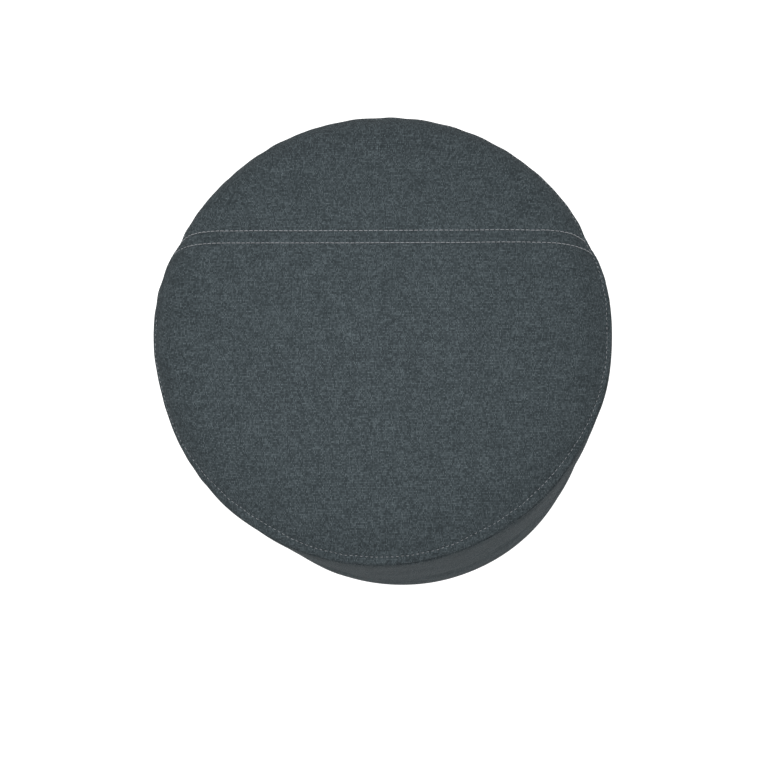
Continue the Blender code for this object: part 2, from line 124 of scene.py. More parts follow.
# soft mottled field between about -1 and 1
def patches(across, along, size, seed, count=10):
    chance = np.random.default_rng(seed)
    total = np.zeros_like(across, dtype=float)
    for _ in range(count):
        heading = chance.uniform(0, math.pi)
        step = size * chance.uniform(0.7, 1.7)
        total += np.sin(2 * math.pi * (across * math.cos(heading) + along * math.sin(heading)) / step
                        + chance.uniform(0, 2 * math.pi))
    return total / math.sqrt(count)


# height of the crown over a radius, at the front, at the rear or between
def crownHeightAt(radius, end="mean"):
    if end == "mean":
        return (crownHeightAt(radius, "front") + crownHeightAt(radius, "rear")) / 2
    left = np.clip(1 - (radius / rimRadius) ** form[end + "Flatness"], 0, 1)
    shift = form[end + "RimShift"]
    return rimHeight + shift + (crownHeight - shift) * left ** (1 / form[end + "Rounding"])


# 0 at the front, 1 where the cover sits lowest
def rearShare(angle):
    return smooth(0.2, 0.6, 0.5 + 0.5 * np.cos(angle - math.radians(form["farSide"])))


def rimShift(angle):
    share = rearShare(angle)
    return form["frontRimShift"] * (1 - share) + form["rearRimShift"] * share


def wallRadius(height):
    share = smooth(form["straightHeight"], rimHeight, height)
    return wallLow + (wallTop - wallLow) * share


# arc length, radius, height and outward normal along a half section
def lineTable(points):
    points = np.array(points, float)
    steps = np.hypot(*np.diff(points, axis=0).T)
    reach = np.concatenate([[0.0], np.cumsum(steps)])
    heading = np.gradient(points, reach, axis=0)
    heading /= np.hypot(heading[:, 0], heading[:, 1])[:, None]
    return reach, points, np.stack([-heading[:, 1], heading[:, 0]], 1)


turnSteps = 24


# half section of the top, from the pole, over the crown and round into the rim seam
def topLine(end):
    turnAt = rimRadius - form["turnStart"] * (1.0 if end == "front" else 0.15)
    radii = np.concatenate([np.linspace(0, 0.8 * rimRadius, 60),
                            np.linspace(0.8 * rimRadius, turnAt, 160)[1:]])
    points = [(r, z) for r, z in zip(radii, crownHeightAt(radii, end))]
    slope = math.atan2(points[-1][1] - points[-2][1], points[-1][0] - points[-2][0])
    r, z = points[-1]
    stride = form["turnRadius"] * (math.pi + slope) / turnSteps
    for step in range(turnSteps):
        heading = slope - (math.pi + slope) * (step + 0.5) / turnSteps
        r += stride * math.cos(heading)
        z += stride * math.sin(heading)
        points.append((r, z))
    return np.array(points)


# the half section against the flat cut's radius: along the cloth near the rim, in plan in the middle
def spreadLine(end):
    reach, places, normals = lineTable(topLine(end))
    left = reach[-1] - reach
    flat = np.where(places[:, 0] < form["flatZone"], places[:, 0], planEdge - left)
    start = np.searchsorted(places[:, 0], form["flatZone"])
    stop = int(np.argmax(left < form["rimZone"]))
    flat[start:stop] = np.interp(reach[start:stop], [reach[start], reach[stop]],
                                 [places[start, 0], planEdge - left[stop]])
    return flat, places, normals, reach


planEdge = rimRadius + 8 * mm        # flat radius of the top panels, fold included
frontLineTop = spreadLine("front")
rearLineTop = spreadLine("rear")
topPoints = topLine("front")


# one value of the half section, between the front's and the rear's
def blendLines(reach, share, column, part):
    front = np.interp(reach, frontLineTop[0], frontLineTop[column][:, part])
    rear = np.interp(reach, rearLineTop[0], rearLineTop[column][:, part])
    return front * (1 - share) + rear * share


seamWaver = {       # how far the stitched seam strays to the rear, by place along it
    "along": [-0.235, -0.215, -0.196, -0.176, -0.13, -0.09, -0.04, 0.04,
              0.10, 0.15, 0.176, 0.186, 0.195, 0.206, 0.222, 0.235],
    "back": [-1.4, -0.3, 0.9, 2.0, 1.2, 0.8, 0.9, 1.1,
             1.5, 2.1, 2.3, 2.0, 1.2, 0.3, -0.8, -1.2],
}


def seamShift(x, y):
    wander = np.interp(x, seamWaver["along"], seamWaver["back"]) * mm
    return wander * np.exp(-((y - seamBack) / 0.06) ** 2)


swelling = {
    "voxel": 8 * mm,
    "pressure": 4.0,
    "frames": 20,
    "slack": -0.012,        # cloth cut a little larger than the form
    "pinReach": 7 * mm,     # sewn lines hold the cloth this far to each side
    "cell": 6 * mm,
    "blur": 2,
}


# the drum as one closed skin, for the simulation
def formMesh():
    points = [(r, z) for r, z in topPoints[::6] if r < rimRadius - form["turnStart"]]
    points += [(wallRadius(z), z) for z in np.linspace(rimHeight, form["baseRound"], 40)]
    middle = wallLow - form["baseRound"]
    points += [(middle + form["baseRound"] * math.cos(a), form["baseRound"] * (1 - math.sin(a)))
               for a in np.linspace(0, math.pi / 2, 6)[1:]]
    points.append((0.0, 0.0))
    mesh = bpy.data.meshes.new("drumForm")
    shape = bmesh.new()
    verts = [shape.verts.new((r, 0, z)) for r, z in points]
    edges = [shape.edges.new(pair) for pair in zip(verts, verts[1:])]
    bmesh.ops.spin(shape, geom=verts + edges, axis=(0, 0, 1), cent=(0, 0, 0), angle=2 * math.pi, steps=144)
    bmesh.ops.remove_doubles(shape, verts=shape.verts, dist=1e-5)
    bmesh.ops.recalc_face_normals(shape, faces=shape.faces)
    shape.to_mesh(mesh)
    shape.free()
    return mesh


# distance of each point from the nearest sewn line
def seamDistance(co):
    x, y, z = co.T
    radius = np.hypot(x, y)
    onTop = np.where(z > rimHeight - 5 * mm, np.abs(y - seamBack), 1.0)
    rim = np.hypot(radius - rimRadius, z - rimHeight)
    inside = np.maximum(0, wallLow - 8 * mm - radius)
    upright = np.where(z < rimHeight, np.abs(y - seamBack) + inside, 1.0)
    base = np.hypot(radius - wallLow, z - form["baseRound"])
    zipLine = np.where(y > seamBack, np.abs(z - zipHeight) - 8 * mm + inside, 1.0)
    nearest = np.min([onTop, rim, upright, base, np.maximum(zipLine, 0)], axis=0)
    return np.where(z < 4 * mm, 0.0, nearest)


# sampled push of the filling against the cloth: one map for the top, one for the wall
def simulateSwelling():
    settings = swelling
    body = bpy.data.objects.new("drumForm", formMesh())
    bpy.context.scene.collection.objects.link(body)
    remesh = body.modifiers.new("even", "REMESH")
    remesh.mode = "VOXEL"
    remesh.voxel_size = settings["voxel"]
    even = bpy.data.meshes.new_from_object(body.evaluated_get(bpy.context.evaluated_depsgraph_get()))
    body.modifiers.clear()
    body.data = even
    rest = np.empty(len(even.vertices) * 3)
    even.vertices.foreach_get("co", rest)
    rest = rest.reshape(-1, 3)
    hold = body.vertex_groups.new(name="sewn")
    weight = 1 - smooth(settings["pinReach"], settings["pinReach"] * 2, seamDistance(rest))
    for index, value in enumerate(weight):
        if value > 0.01:
            hold.add([index], float(value), "REPLACE")
    cloth = body.modifiers.new("swell", "CLOTH")
    cloth.settings.quality = 5
    cloth.settings.mass = 0.3
    cloth.settings.tension_stiffness = 12
    cloth.settings.compression_stiffness = 8
    cloth.settings.bending_stiffness = 2.5
    cloth.settings.use_pressure = True
    cloth.settings.uniform_pressure_force = settings["pressure"]
    cloth.settings.shrink_min = settings["slack"]
    cloth.settings.vertex_group_mass = "sewn"
    cloth.settings.effector_weights.gravity = 0
    cloth.collision_settings.use_collision = False
    cloth.point_cache.frame_start = 1
    cloth.point_cache.frame_end = settings["frames"]
    for number in range(1, settings["frames"] + 1):
        bpy.context.scene.frame_set(number)
    moved = body.evaluated_get(bpy.context.evaluated_depsgraph_get()).data
    after = np.empty(len(rest) * 3)
    moved.vertices.foreach_get("co", after)
    after = after.reshape(-1, 3)
    bpy.context.scene.frame_set(1)
    bpy.data.objects.remove(body, do_unlink=True)
    normal = np.array([v.normal for v in even.vertices])
    push = np.einsum("ij,ij->i", after - rest, normal)
    print("simulation moved the cloth by", round(push.min() / mm, 2), "to", round(push.max() / mm, 2), "mm")
    isTop = normal[:, 2] > 0.6
    isWall = np.abs(normal[:, 2]) < 0.5
    return pushMap(rest[isTop, 0], rest[isTop, 1], push[isTop], False), \
        pushMap(np.arctan2(rest[isWall, 1], rest[isWall, 0]) * rimRadius, rest[isWall, 2], push[isWall], True)


# the push at scattered places, evened out on a regular grid
def pushMap(across, along, push, wraps):
    cell = swelling["cell"]
    reach = math.pi * rimRadius if wraps else rimRadius + 2 * cell
    columns = int(round(2 * reach / cell))
    rows = int((totalHeight + 4 * cell if wraps else 2 * reach) / cell) + 1
    low = -2 * cell if wraps else -reach
    i = ((across + reach) / (2 * reach) * columns).astype(int) % columns
    j = np.clip(((along - low) / cell).astype(int), 0, rows - 1)
    total, count = np.zeros((rows, columns)), np.zeros((rows, columns))
    np.add.at(total, (j, i), push)
    np.add.at(count, (j, i), 1.0)
    for _ in range(swelling["blur"]):
        for axis in (0, 1):
            total = total * 0.5 + 0.25 * (np.roll(total, 1, axis) + np.roll(total, -1, axis))
            count = count * 0.5 + 0.25 * (np.roll(count, 1, axis) + np.roll(count, -1, axis))
    field = total / np.maximum(count, 1e-3)
    return {"field": field, "reach": reach, "low": low, "columns": columns, "wraps": wraps}


# smooth (cubic) reading of a push map
def sampleMap(push, across, along):
    if push is None:
        return np.zeros_like(across)
    field = push["field"]
    rows, columns = field.shape
    x = (across + push["reach"]) / (2 * push["reach"]) * columns - 0.5
    y = (along - push["low"]) / swelling["cell"] - 0.5
    i, j = np.floor(x).astype(int), np.floor(y).astype(int)
    total = np.zeros_like(x)
    weights = []
    for share in (x - i, y - j):
        weights.append([(1 - share) ** 3 / 6, (3 * share ** 3 - 6 * share ** 2 + 4) / 6,
                        (-3 * share ** 3 + 3 * share ** 2 + 3 * share + 1) / 6, share ** 3 / 6])
    for dj in range(4):
        for di in range(4):
            total += weights[0][di] * weights[1][dj] * field[np.clip(j + dj - 1, 0, rows - 1),
                                                             (i + di - 1) % columns]
    return total


topPush = wallPush = None
topPush, wallPush = simulateSwelling()
print("swelling maps ready")


seams = {
    "topFold": 0.25 * mm,       # the top seam is pressed so flat that its joint hardly shows
    "foldRadius": 0.5 * mm,     # cloth edge that rolls down into an upright seam
    "pressedRise": 0.5 * mm,    # allowance pressed open under the cloth
    "allowance": 10 * mm,
    "rowOffset": 7 * mm,
    "rowSink": 0.75 * mm,
    "rowWidth": 0.9 * mm,
    "stitch": 5.5 * mm,         # one stitch, from hole to hole
    "rimRow": 13.5 * mm,        # rim row inside the rim fold, along the cloth
    "rimRowDrift": 5.0 * mm,    # how much closer to the fold it runs beside and behind
    "lipRise": 0.8 * mm,
    "pucker": 0.28 * mm,
    # how far the rim is drawn in by the ends of the top seam: depth, place in degrees, half width
    "rightPull": (3.0 * mm, 25.2, 17 * mm),
    "leftPull": (2.1 * mm, 154.6, 13 * mm),
}


# quarter-round fold of a cloth edge
def foldDepth(distance, a):
    inside = np.clip(a - distance, 0, a)
    return -(a - np.sqrt(np.maximum(a * a - inside * inside, 0)))


# deeper at the needle holes, shallower under each stitch
def stitchSink(along):
    return 0.72 + 0.28 * np.cos(2 * math.pi * along / seams["stitch"])


# rise and fall beside an open seam with a row of stitches on each side
def twinSeam(distance, along, seed):
    rise = seams["pressedRise"] * smooth(0.2 * mm, 2.2 * mm, distance)
    rise *= 1 - smooth(seams["allowance"] - 1.5 * mm, seams["allowance"] + 1.6 * mm, distance)
    sink = seams["rowSink"] * bump(distance, seams["rowOffset"], seams["rowWidth"]) * stitchSink(along)
    soft = 0.45 * mm * bump(distance, seams["rowOffset"], 4.5 * mm)
    pucker = seams["pucker"] * ripples(along, 17 * mm, seed) * bump(distance, seams["rowOffset"] + 3 * mm, 5 * mm)
    return rise - sink - soft + pucker


def rimRowAt(angle):
    drift = smooth(-0.75, -0.35, np.sin(angle)) + 0.5 * smooth(-0.88, -0.97, np.sin(angle))
    return seams["rimRow"] - seams["rimRowDrift"] * drift


# the stitched lip of the top panel, by distance inside the rim fold
def rimRelief(inward, along, seed):
    row = rimRowAt(along / rimRadius)
    lip = seams["lipRise"] * smooth(0, 2.2 * mm, inward) * (1 - smooth(row - 2.4 * mm, row - 0.2 * mm, inward))
    sink = seams["rowSink"] * bump(inward, row, seams["rowWidth"]) * stitchSink(along)
    ridge = 0.35 * mm * bump(inward, row + 2.6 * mm, 1.4 * mm)
    valley = 0.35 * mm * bump(inward, row + 5.0 * mm, 1.8 * mm)
    soft = 0.5 * mm * bump(inward, row, 5.0 * mm)
    pucker = seams["pucker"] * ripples(along, 19 * mm, seed) * bump(inward, row + 3 * mm, 6 * mm)
    lipWave = 0.25 * mm * ripples(along, 31 * mm, seed + 1) * smooth(0, 3 * mm, inward) * \
        (1 - smooth(row, row + 6 * mm, inward))
    return lip - sink + ridge - valley - soft + pucker + lipWave


outlineShift = {        # uneven stuffing: how far the edges stand out, every 15 degrees from the right
    "step": 15,
    "rim": [0.1, 1.2, 0.3, 1.2, 2.1, 2.8, 3.0, 3.4, 3.6, 2.4, 2.0, 3.9,
            2.2, -1.5, -1.4, -0.8, -0.4, 0.2, 1.2, 0.8, 0.5, 0, -1.0, 0],
    "base": [-0.5, 0, 0, 0, 0, 0, 0, 0, 0, 0, 0, 0,
             0, 0, 0, -0.8, -1.6, 0.3, 2.2, 3.2, 3.0, 1.6, -1.8, -1.4],
}


def outlinePush(angle, edge):
    table = np.array(outlineShift[edge])
    turns = np.degrees(angle) % 360 / outlineShift["step"]
    start = np.floor(turns).astype(int)
    t = turns - start
    before, here, there, after = (table[(start + k) % len(table)] for k in (-1, 0, 1, 2))
    curve = (there - before) * t + (2 * before - 5 * here + 4 * there - after) * t ** 2
    return (here + 0.5 * (curve + (3 * here - before - 3 * there + after) * t ** 3)) * mm


# the rim is drawn in where the stitched seam crosses it
def endPull(angle, height):
    pull = 0.0
    for side in ("rightPull", "leftPull"):
        depth, degrees, width = seams[side]
        turn = (angle - math.radians(degrees) + math.pi) % (2 * math.pi) - math.pi
        pull = pull - depth * bump(turn * rimRadius, 0, width)
    return pull * bump(height, rimHeight, 26 * mm)


# place and outward normal on the top, for a point of its flat cut
def topSurface(x, y, extra=0.0):
    reach = np.hypot(x, y)
    angle = np.arctan2(y, x)
    share = rearShare(angle)
    r = blendLines(reach, share, 1, 0)
    z = blendLines(reach, share, 1, 1)
    nr = blendLines(reach, share, 2, 0)
    nz = blendLines(reach, share, 2, 1)
    size = np.hypot(nr, nz)
    nr, nz = nr / size, nz / size
    fromSeam = np.abs(y - seamBack)
    inward = planEdge - reach
    rimArc = angle * rimRadius
    lift = foldDepth(fromSeam, seams["topFold"]) * smooth(-1 * mm, 1.5 * mm, inward)
    lift = lift + twinSeam(fromSeam, x, 11) * smooth(0, 4 * mm, inward)
    lift = lift + rimRelief(inward, rimArc, 21) * (1 - 0.55 * bump(fromSeam, 0, 5 * mm))
    puff = sampleMap(topPush, x, y) * smooth(0, 16 * mm, inward) * smooth(0, 14 * mm, fromSeam)
    lift = lift + np.clip(puff, -form["swell"], form["swell"])
    lift = lift + 0.35 * mm * patches(x, y, 75 * mm, 31) * smooth(4 * mm, 30 * mm, inward)
    lift = lift + extra
    out = (outlinePush(angle, "rim") + endPull(angle, z)) * smooth(60 * mm, 5 * mm, inward)
    r = r + lift * nr + out
    z = z + lift * nz
    shift = seamShift(x, y) + form["straighten"] * (y - r * np.sin(angle)) * bump(y, seamBack, 70 * mm)
    places = np.stack([r * np.cos(angle), r * np.sin(angle) + shift, z], -1)
    normals = np.stack([nr * np.cos(angle), nr * np.sin(angle), nz], -1)
    return places, normals


# half section of the side band, from inside the rim seam down and under the base
def wallLine():
    a = form["turnRadius"]
    top = rimHeight - 0.15 * mm
    points = [(wallTop - a - form["flap"] * (1 - s), top) for s in np.linspace(0, 1, 5)[:-1]]
    points += [(wallTop - a * (1 - math.sin(t)), top - a * (1 - math.cos(t)))
               for t in np.linspace(0, math.pi / 2, 8)]
    heights = np.concatenate([np.linspace(top - a, top - 14 * mm, 12)[1:],
                              np.linspace(top - 14 * mm, 52 * mm, 48)[1:],
                              np.linspace(52 * mm, form["baseRound"] + form["baseLift"], 24)[1:]])
    points += [(wallRadius(z), z) for z in heights]
    middle = wallLow - form["baseRound"]
    points += [(middle + form["baseRound"] * math.cos(t),
                form["baseLift"] + form["baseRound"] * (1 - math.sin(t)))
               for t in np.linspace(0, math.pi / 2, 9)[1:]]
    return np.array(points, float)


wallPlaces = wallLine()
wallReach, _, wallNormals = lineTable(wallPlaces)


sideBands = {
    "columnSteps": [0.05, 0.2, 0.45, 0.8, 1.2, 1.9, 3.0, 4.3, 5.4, 6.1, 6.6, 7.0, 7.4, 7.9, 8.6, 9.6,
                    11.0, 12.8],       # mm from each upright seam
    "spacing": 2.6 * mm,
    "zipSink": 0.55 * mm,       # how deep the zip's stitches sit
    "zipRow": 3.5 * mm,         # zip row inside the folded edge
    "shoulder": (1.3 * mm, 4 * mm, 3.5 * mm),       # fuller just below the rim: height, place, half width
    "hollow": (0.5 * mm, 14 * mm, 9 * mm),          # and slacker under that
    "folds": 0.45 * mm,
    "unevenness": 0.7 * mm,
    "pushShare": 0.4,           # the wall gives way less than the top
}


# the cloth beside the zip: a groove for the stitches and a fuller folded edge; way is 1 above the zip, -1 below
def zipEdge(z, foldHeight, way):
    groove = bump(z, foldHeight + way * sideBands["zipRow"], 0.9 * mm)
    roll = bump(z, foldHeight + way * 1.2 * mm, 1.6 * mm)
    return 0.35 * mm * roll - 0.7 * sideBands["zipSink"] * groove


# place and outward normal on the side, by distances to the upright seams and place down the half section
def wallSurface(fromRight, fromLeft, line, angle, extra=0.0, seed=41, edge=None):
    reach, places, normals = line
    r, z, nr, nz = places[:, 0], places[:, 1], normals[:, 0], normals[:, 1]
    arc = angle * rimRadius
    fromSeam = np.minimum(fromRight, fromLeft)
    below = rimHeight - z
    lift = foldDepth(fromSeam, seams["foldRadius"]) + twinSeam(fromSeam, z, seed) * smooth(0, 5 * mm, below)
    for way, key in ((1, "shoulder"), (-1, "hollow")):
        size, middle, width = sideBands[key]
        lift = lift + way * size * bump(below, middle, width)
    folds = ripples(arc, 95 * mm, seed + 1) * bump(below, 9 * mm, 9 * mm)
    folds = folds + 0.8 * ripples(arc, 60 * mm, seed + 2) * bump(below, 24 * mm, 14 * mm)
    lift = lift + sideBands["folds"] * folds * smooth(0, 12 * mm, fromSeam)
    lift = lift + sideBands["unevenness"] * patches(arc, z, 110 * mm, seed + 3) * smooth(0, 40 * mm, below) \
        * smooth(0, 35 * mm, z) * smooth(0, 25 * mm, fromSeam)
    puff = sideBands["pushShare"] * sampleMap(wallPush, arc, z) * smooth(0, 14 * mm, below) * smooth(0, 14 * mm, fromSeam)
    lift = lift + np.clip(puff, -form["swell"], form["swell"]) * smooth(0, 20 * mm, z)
    if edge is not None:
        lift = lift + zipEdge(z, *edge)
    lift = lift + extra
    out = (outlinePush(angle, "rim") + endPull(angle, z)) * smooth(110 * mm, 10 * mm, below)
    out = out + outlinePush(angle, "base") * smooth(290 * mm, 60 * mm, z)
    r = r + lift * nr + out
    z = z + lift * nz + rimShift(angle) * smooth(120 * mm, rimHeight - 4 * mm, z)
    normals = np.stack([nr * np.cos(angle), nr * np.sin(angle), nz], -1)
    return np.stack([r * np.cos(angle), r * np.sin(angle), z], -1), normals


def makeMesh(name, points, faces, look, uv=None, smoothShaded=True):
    mesh = bpy.data.meshes.new(name)
    mesh.from_pydata(np.asarray(points).tolist(), [], [list(map(int, f)) for f in faces])
    mesh.materials.append(look)
    if uv is not None:
        layer = mesh.uv_layers.new(name="cloth")
        corner = np.empty(len(mesh.loops), int)
        mesh.loops.foreach_get("vertex_index", corner)
        layer.data.foreach_set("uv", np.asarray(uv, float)[corner].ravel())
    mesh.polygons.foreach_set("use_smooth", [smoothShaded] * len(mesh.polygons))
    mesh.validate()
    mesh.update()
    piece = bpy.data.objects.new(name, mesh)
    bpy.context.scene.collection.objects.link(piece)
    return piece


def vertexNormals(points, faces):
    total = np.zeros_like(points)
    for size in (3, 4):
        some = np.array([f for f in faces if len(f) == size], int)
        if len(some) == 0:
            continue
        across = points[some[:, 2]] - points[some[:, 0]]
        other = points[some[:, size - 1]] - points[some[:, 1]]
        way = np.cross(across, other)
        for corner in range(size):
            np.add.at(total, some[:, corner], way)
    size = np.linalg.norm(total, axis=1)
    return total / np.maximum(size, 1e-12)[:, None]


# edges with one face, in that face's direction
def boundaryEdges(faces):
    seen = {}
    for face in faces:
        for a, b in zip(face, face[1:] + face[:1]):
            if (b, a) in seen:
                del seen[(b, a)]
            else:
                seen[(a, b)] = True
    return list(seen)


# gives a cloth surface its thickness, with closed edges
def clothShell(name, points, faces, uv, look, thickness=None):
    thickness = form["clothThickness"] if thickness is None else thickness
    points = np.asarray(points, float)
    faces = [list(map(int, f)) for f in faces]
    count = len(points)
    inner = points - vertexNormals(points, faces) * thickness
    closed = faces + [[i + count for i in reversed(f)] for f in faces]
    closed += [[b, a, a + count, b + count] for a, b in boundaryEdges(faces)]
    return makeMesh(name, np.concatenate([points, inner]), closed, look, np.concatenate([uv, uv]))


def gridFaces(rows, columns, wraps=False):
    faces = []
    for j in range(rows - 1):
        for i in range(columns if wraps else columns - 1):
            a, b = j * columns + i, j * columns + (i + 1) % columns
            faces.append([a, a + columns, b + columns, b])
    return faces


# sRGB hex to linear RGBA
def toLinear(hexColour):
    parts = [int(hexColour[i:i + 2], 16) / 255 for i in (1, 3, 5)]
    return [c / 12.92 if c <= 0.04045 else ((c + 0.055) / 1.055) ** 2.4 for c in parts] + [1.0]


# adds a node; inputs are values or (node, output) links
def addNode(tree, kind, settings=None, inputs=None):
    node = tree.nodes.new(kind)
    for key, value in (settings or {}).items():
        setattr(node, key, value)
    for key, value in (inputs or {}).items():
        if isinstance(value, tuple) and isinstance(value[0], bpy.types.Node):
            tree.links.new(value[0].outputs[value[1]], node.inputs[key])
        else:
            node.inputs[key].default_value = value
    return node


# a material with its shader's uniform values set on the shader's own sockets
def newMaterial(name, shader):
    made = bpy.data.materials.new(name)
    made.use_nodes = True
    tree = made.node_tree
    principled = tree.nodes["Principled BSDF"]
    for key, value in shader.items():
        principled.inputs[key].default_value = value
    return made, tree, principled


# plain-woven melange cloth: each crossing shows its warp or its weft yarn, and each yarn has its own shade; the gaps
# between yarns are darkened with painted shade
def wovenMaterial(name, look):
    made, tree, principled = newMaterial(name, {
        "Roughness": look["roughness"], "IOR": 1.45, "Specular IOR Level": look["specular"],
        "Sheen Weight": look["sheen"], "Sheen Roughness": 0.5, "Sheen Tint": toLinear(look["sheenTint"])})
    place = addNode(tree, "ShaderNodeUVMap", {"uv_map": "cloth"})
    across = addNode(tree, "ShaderNodeSeparateXYZ", inputs={0: (place, 0)})
    flat = {"noise_dimensions": "2D"}
    parts = {
        "along u": (across, 0), "along v": (across, 1),
        "wobble": (addNode(tree, "ShaderNodeTexNoise", flat, {
            "Vector": (place, 0), "Scale": 1 / look["wobbleSize"], "Detail": 1.0}), 0),
        "mottle": (addNode(tree, "ShaderNodeTexNoise", flat, {
            "Vector": (place, 0), "Scale": 1 / look["mottleSize"], "Detail": 2.0, "Roughness": 0.5}), 0),
    }

    # each row: result, operation, terms; a text term is an earlier result
    def work(rows):
        for result, operation, *terms in rows:
            terms = [parts[term] if isinstance(term, str) else term for term in terms]
            node = addNode(tree, "ShaderNodeMath", {"operation": operation}, dict(enumerate(terms)))
            parts[result] = (node, 0)

    work((
        ("drift", "MULTIPLY_ADD", "wobble", look["wobble"], -look["wobble"] / 2),
        ("shifted u", "ADD", "along u", "drift"),
        ("u", "DIVIDE", "shifted u", look["warpPitch"]),
        ("shifted v", "ADD", "along v", "drift"),
        ("v", "DIVIDE", "shifted v", look["weftPitch"]),
        ("warp", "FLOOR", "u"),
        ("weft", "FLOOR", "v"),
        ("warp start", "MULTIPLY", "warp", 13.7),       # yarns far apart in the noise, so each has its own shade
        ("along warp", "DIVIDE", "v", look["warpShade"] / look["weftPitch"]),
        ("along weft", "DIVIDE", "u", look["weftShade"] / look["warpPitch"]),
        ("weft start", "MULTIPLY", "weft", 17.3),
        ("yarn count", "ADD", "warp", "weft"),
        ("weft on top", "PINGPONG", "yarn count", 1.0),
        ("u turn", "MULTIPLY", "u", math.pi),
        ("u wave", "SINE", "u turn"),
        ("u round", "ABSOLUTE", "u wave"),
        ("v turn", "MULTIPLY", "v", math.pi),
        ("v wave", "SINE", "v turn"),
        ("v round", "ABSOLUTE", "v wave"),
        ("pillow", "MULTIPLY", "u round", "v round"),       # each crossing stands up between the gaps; the same relief also paints shade into the gaps
    ))
    shades = []
    for x, y in (("warp start", "along warp"), ("along weft", "weft start")):
        spot = addNode(tree, "ShaderNodeCombineXYZ", {}, {0: parts[x], 1: parts[y]})
        shades.append((addNode(tree, "ShaderNodeTexNoise", flat, {
            "Vector": (spot, 0), "Scale": 1.0, "Detail": 2.0, "Roughness": 0.6}), 0))
    parts["yarn"] = (addNode(tree, "ShaderNodeMix", {"data_type": "FLOAT"}, {
        0: parts["weft on top"], 2: shades[0], 3: shades[1]}), 0)
    spot = addNode(tree, "ShaderNodeCombineXYZ", {}, {0: parts["warp"], 1: parts["weft"]})
    parts["crossing"] = (addNode(tree, "ShaderNodeTexWhiteNoise", flat, {"Vector": (spot, 0)}), 0)
    work((
        # painted shade: the colour darkens in the gaps between yarns, where shade would fall
        ("pillow mean", "SUBTRACT", "pillow", 0.405),
        ("weave tone", "MULTIPLY", "pillow mean", look["gapShadeShare"]),
        ("yarn mean", "SUBTRACT", "yarn", 0.5),
        ("yarn tone", "MULTIPLY_ADD", "yarn mean", look["yarnShare"], "weave tone"),
        ("crossing mean", "SUBTRACT", "crossing", 0.5),
        ("crossing tone", "MULTIPLY_ADD", "crossing mean", look["crossingShare"], "yarn tone"),
        ("mottle mean", "SUBTRACT", "mottle", 0.5),
        ("mottle tone", "MULTIPLY_ADD", "mottle mean", look["mottleShare"], "crossing tone"),
        ("tone", "ADD", "mottle tone", 0.5),
        ("height", "MULTIPLY_ADD", "crossing", 0.5, "pillow"),
    ))
    ramp = addNode(tree, "ShaderNodeValToRGB", inputs={0: parts["tone"]})
    ramp.color_ramp.elements[0].color = toLinear(look["dark"])
    ramp.color_ramp.elements[1].color = toLinear(look["light"])
    middle = ramp.color_ramp.elements.new(0.5)
    middle.color = toLinear(look["base"])
    tree.links.new(ramp.outputs[0], principled.inputs["Base Color"])
    relief = addNode(tree, "ShaderNodeBump", {}, {
        "Strength": look["bumpStrength"], "Distance": look["bumpDepth"], "Height": parts["height"]})
    tree.links.new(relief.outputs[0], principled.inputs["Normal"])
    return made


coverLook = {           # polyester upholstery weave, slate grey: matt, with a fine salt-and-pepper grain
    "base": "#363d40", "dark": "#14191b", "light": "#5f696d",
    "roughness": 0.95, "specular": 0.1, "sheen": 0.0, "sheenTint": "#aab4b8",
    "warpPitch": 1.2 * mm,      # yarn spacing; the real yarns are about half as wide, too fine to show
    "weftPitch": 1.7 * mm,
    "wobble": 0.6 * mm, "wobbleSize": 30 * mm,
    "warpShade": 4 * mm,        # stretch over which one yarn keeps its shade
    "weftShade": 16 * mm,
    "mottleSize": 24 * mm,
    # painted shade: the first share on the next line darkens the gaps between yarns
    "gapShadeShare": 0.26, "yarnShare": 0.5, "crossingShare": 0.32, "mottleShare": 0.1,
    "bumpStrength": 0.6, "bumpDepth": 0.25 * mm,
}
# black spun-bond base cloth: dark and plain
baseLook = dict(coverLook, base="#24272a", dark="#15171a", light="#33373a",
                warpPitch=1.4 * mm, weftPitch=1.4 * mm)
# woven polyester zip tape: dark, close and ribbed
tapeLook = dict(coverLook, base="#2a2f32", dark="#1b1f21", light="#3d4447",
                # painted shade: the last share on the next line darkens the gaps between yarns
                warpPitch=0.8 * mm, weftPitch=1.2 * mm, gapShadeShare=0.6)
# unbleached calico: pale and plain
liningLook = dict(coverLook, base="#cfc9b8", dark="#b3ad9c", light="#e2ddcf", sheenTint="#ffffff",
                  warpPitch=0.8 * mm, weftPitch=0.8 * mm)

coverCloth = wovenMaterial("wovenPolyesterSlate", coverLook)
baseCloth = wovenMaterial("wovenBaseClothBlack", baseLook)
tapeCloth = wovenMaterial("wovenZipTape", tapeLook)
liningCloth = wovenMaterial("calicoLining", liningLook)


# a material whose colour and bump follow one noise in object space
def grainMaterial(name, shader, dark, light, size, depth):
    made, tree, principled = newMaterial(name, shader)
    place = addNode(tree, "ShaderNodeTexCoord")
    grain = addNode(tree, "ShaderNodeTexNoise", {}, {"Vector": (place, 3), "Scale": 1 / size, "Detail": 3.0})
    ramp = addNode(tree, "ShaderNodeValToRGB", inputs={0: (grain, 0)})
    ramp.color_ramp.elements[0].position = 0.3
    ramp.color_ramp.elements[1].position = 0.7
    ramp.color_ramp.elements[0].color = toLinear(dark)
    ramp.color_ramp.elements[1].color = toLinear(light)
    tree.links.new(ramp.outputs[0], principled.inputs["Base Color"])
    relief = addNode(tree, "ShaderNodeBump", {}, {"Strength": 0.5, "Distance": depth, "Height": (grain, 0)})
    tree.links.new(relief.outputs[0], principled.inputs["Normal"])
    return made


# spun polyester thread: a soft grey shine with a fine twist
threadYarn = grainMaterial("spunPolyesterThread", {"Roughness": 0.6, "IOR": 1.5, "Sheen Weight": 0.2},
                           "#75787c", "#989b9f", 0.5 * mm, 0.1 * mm)
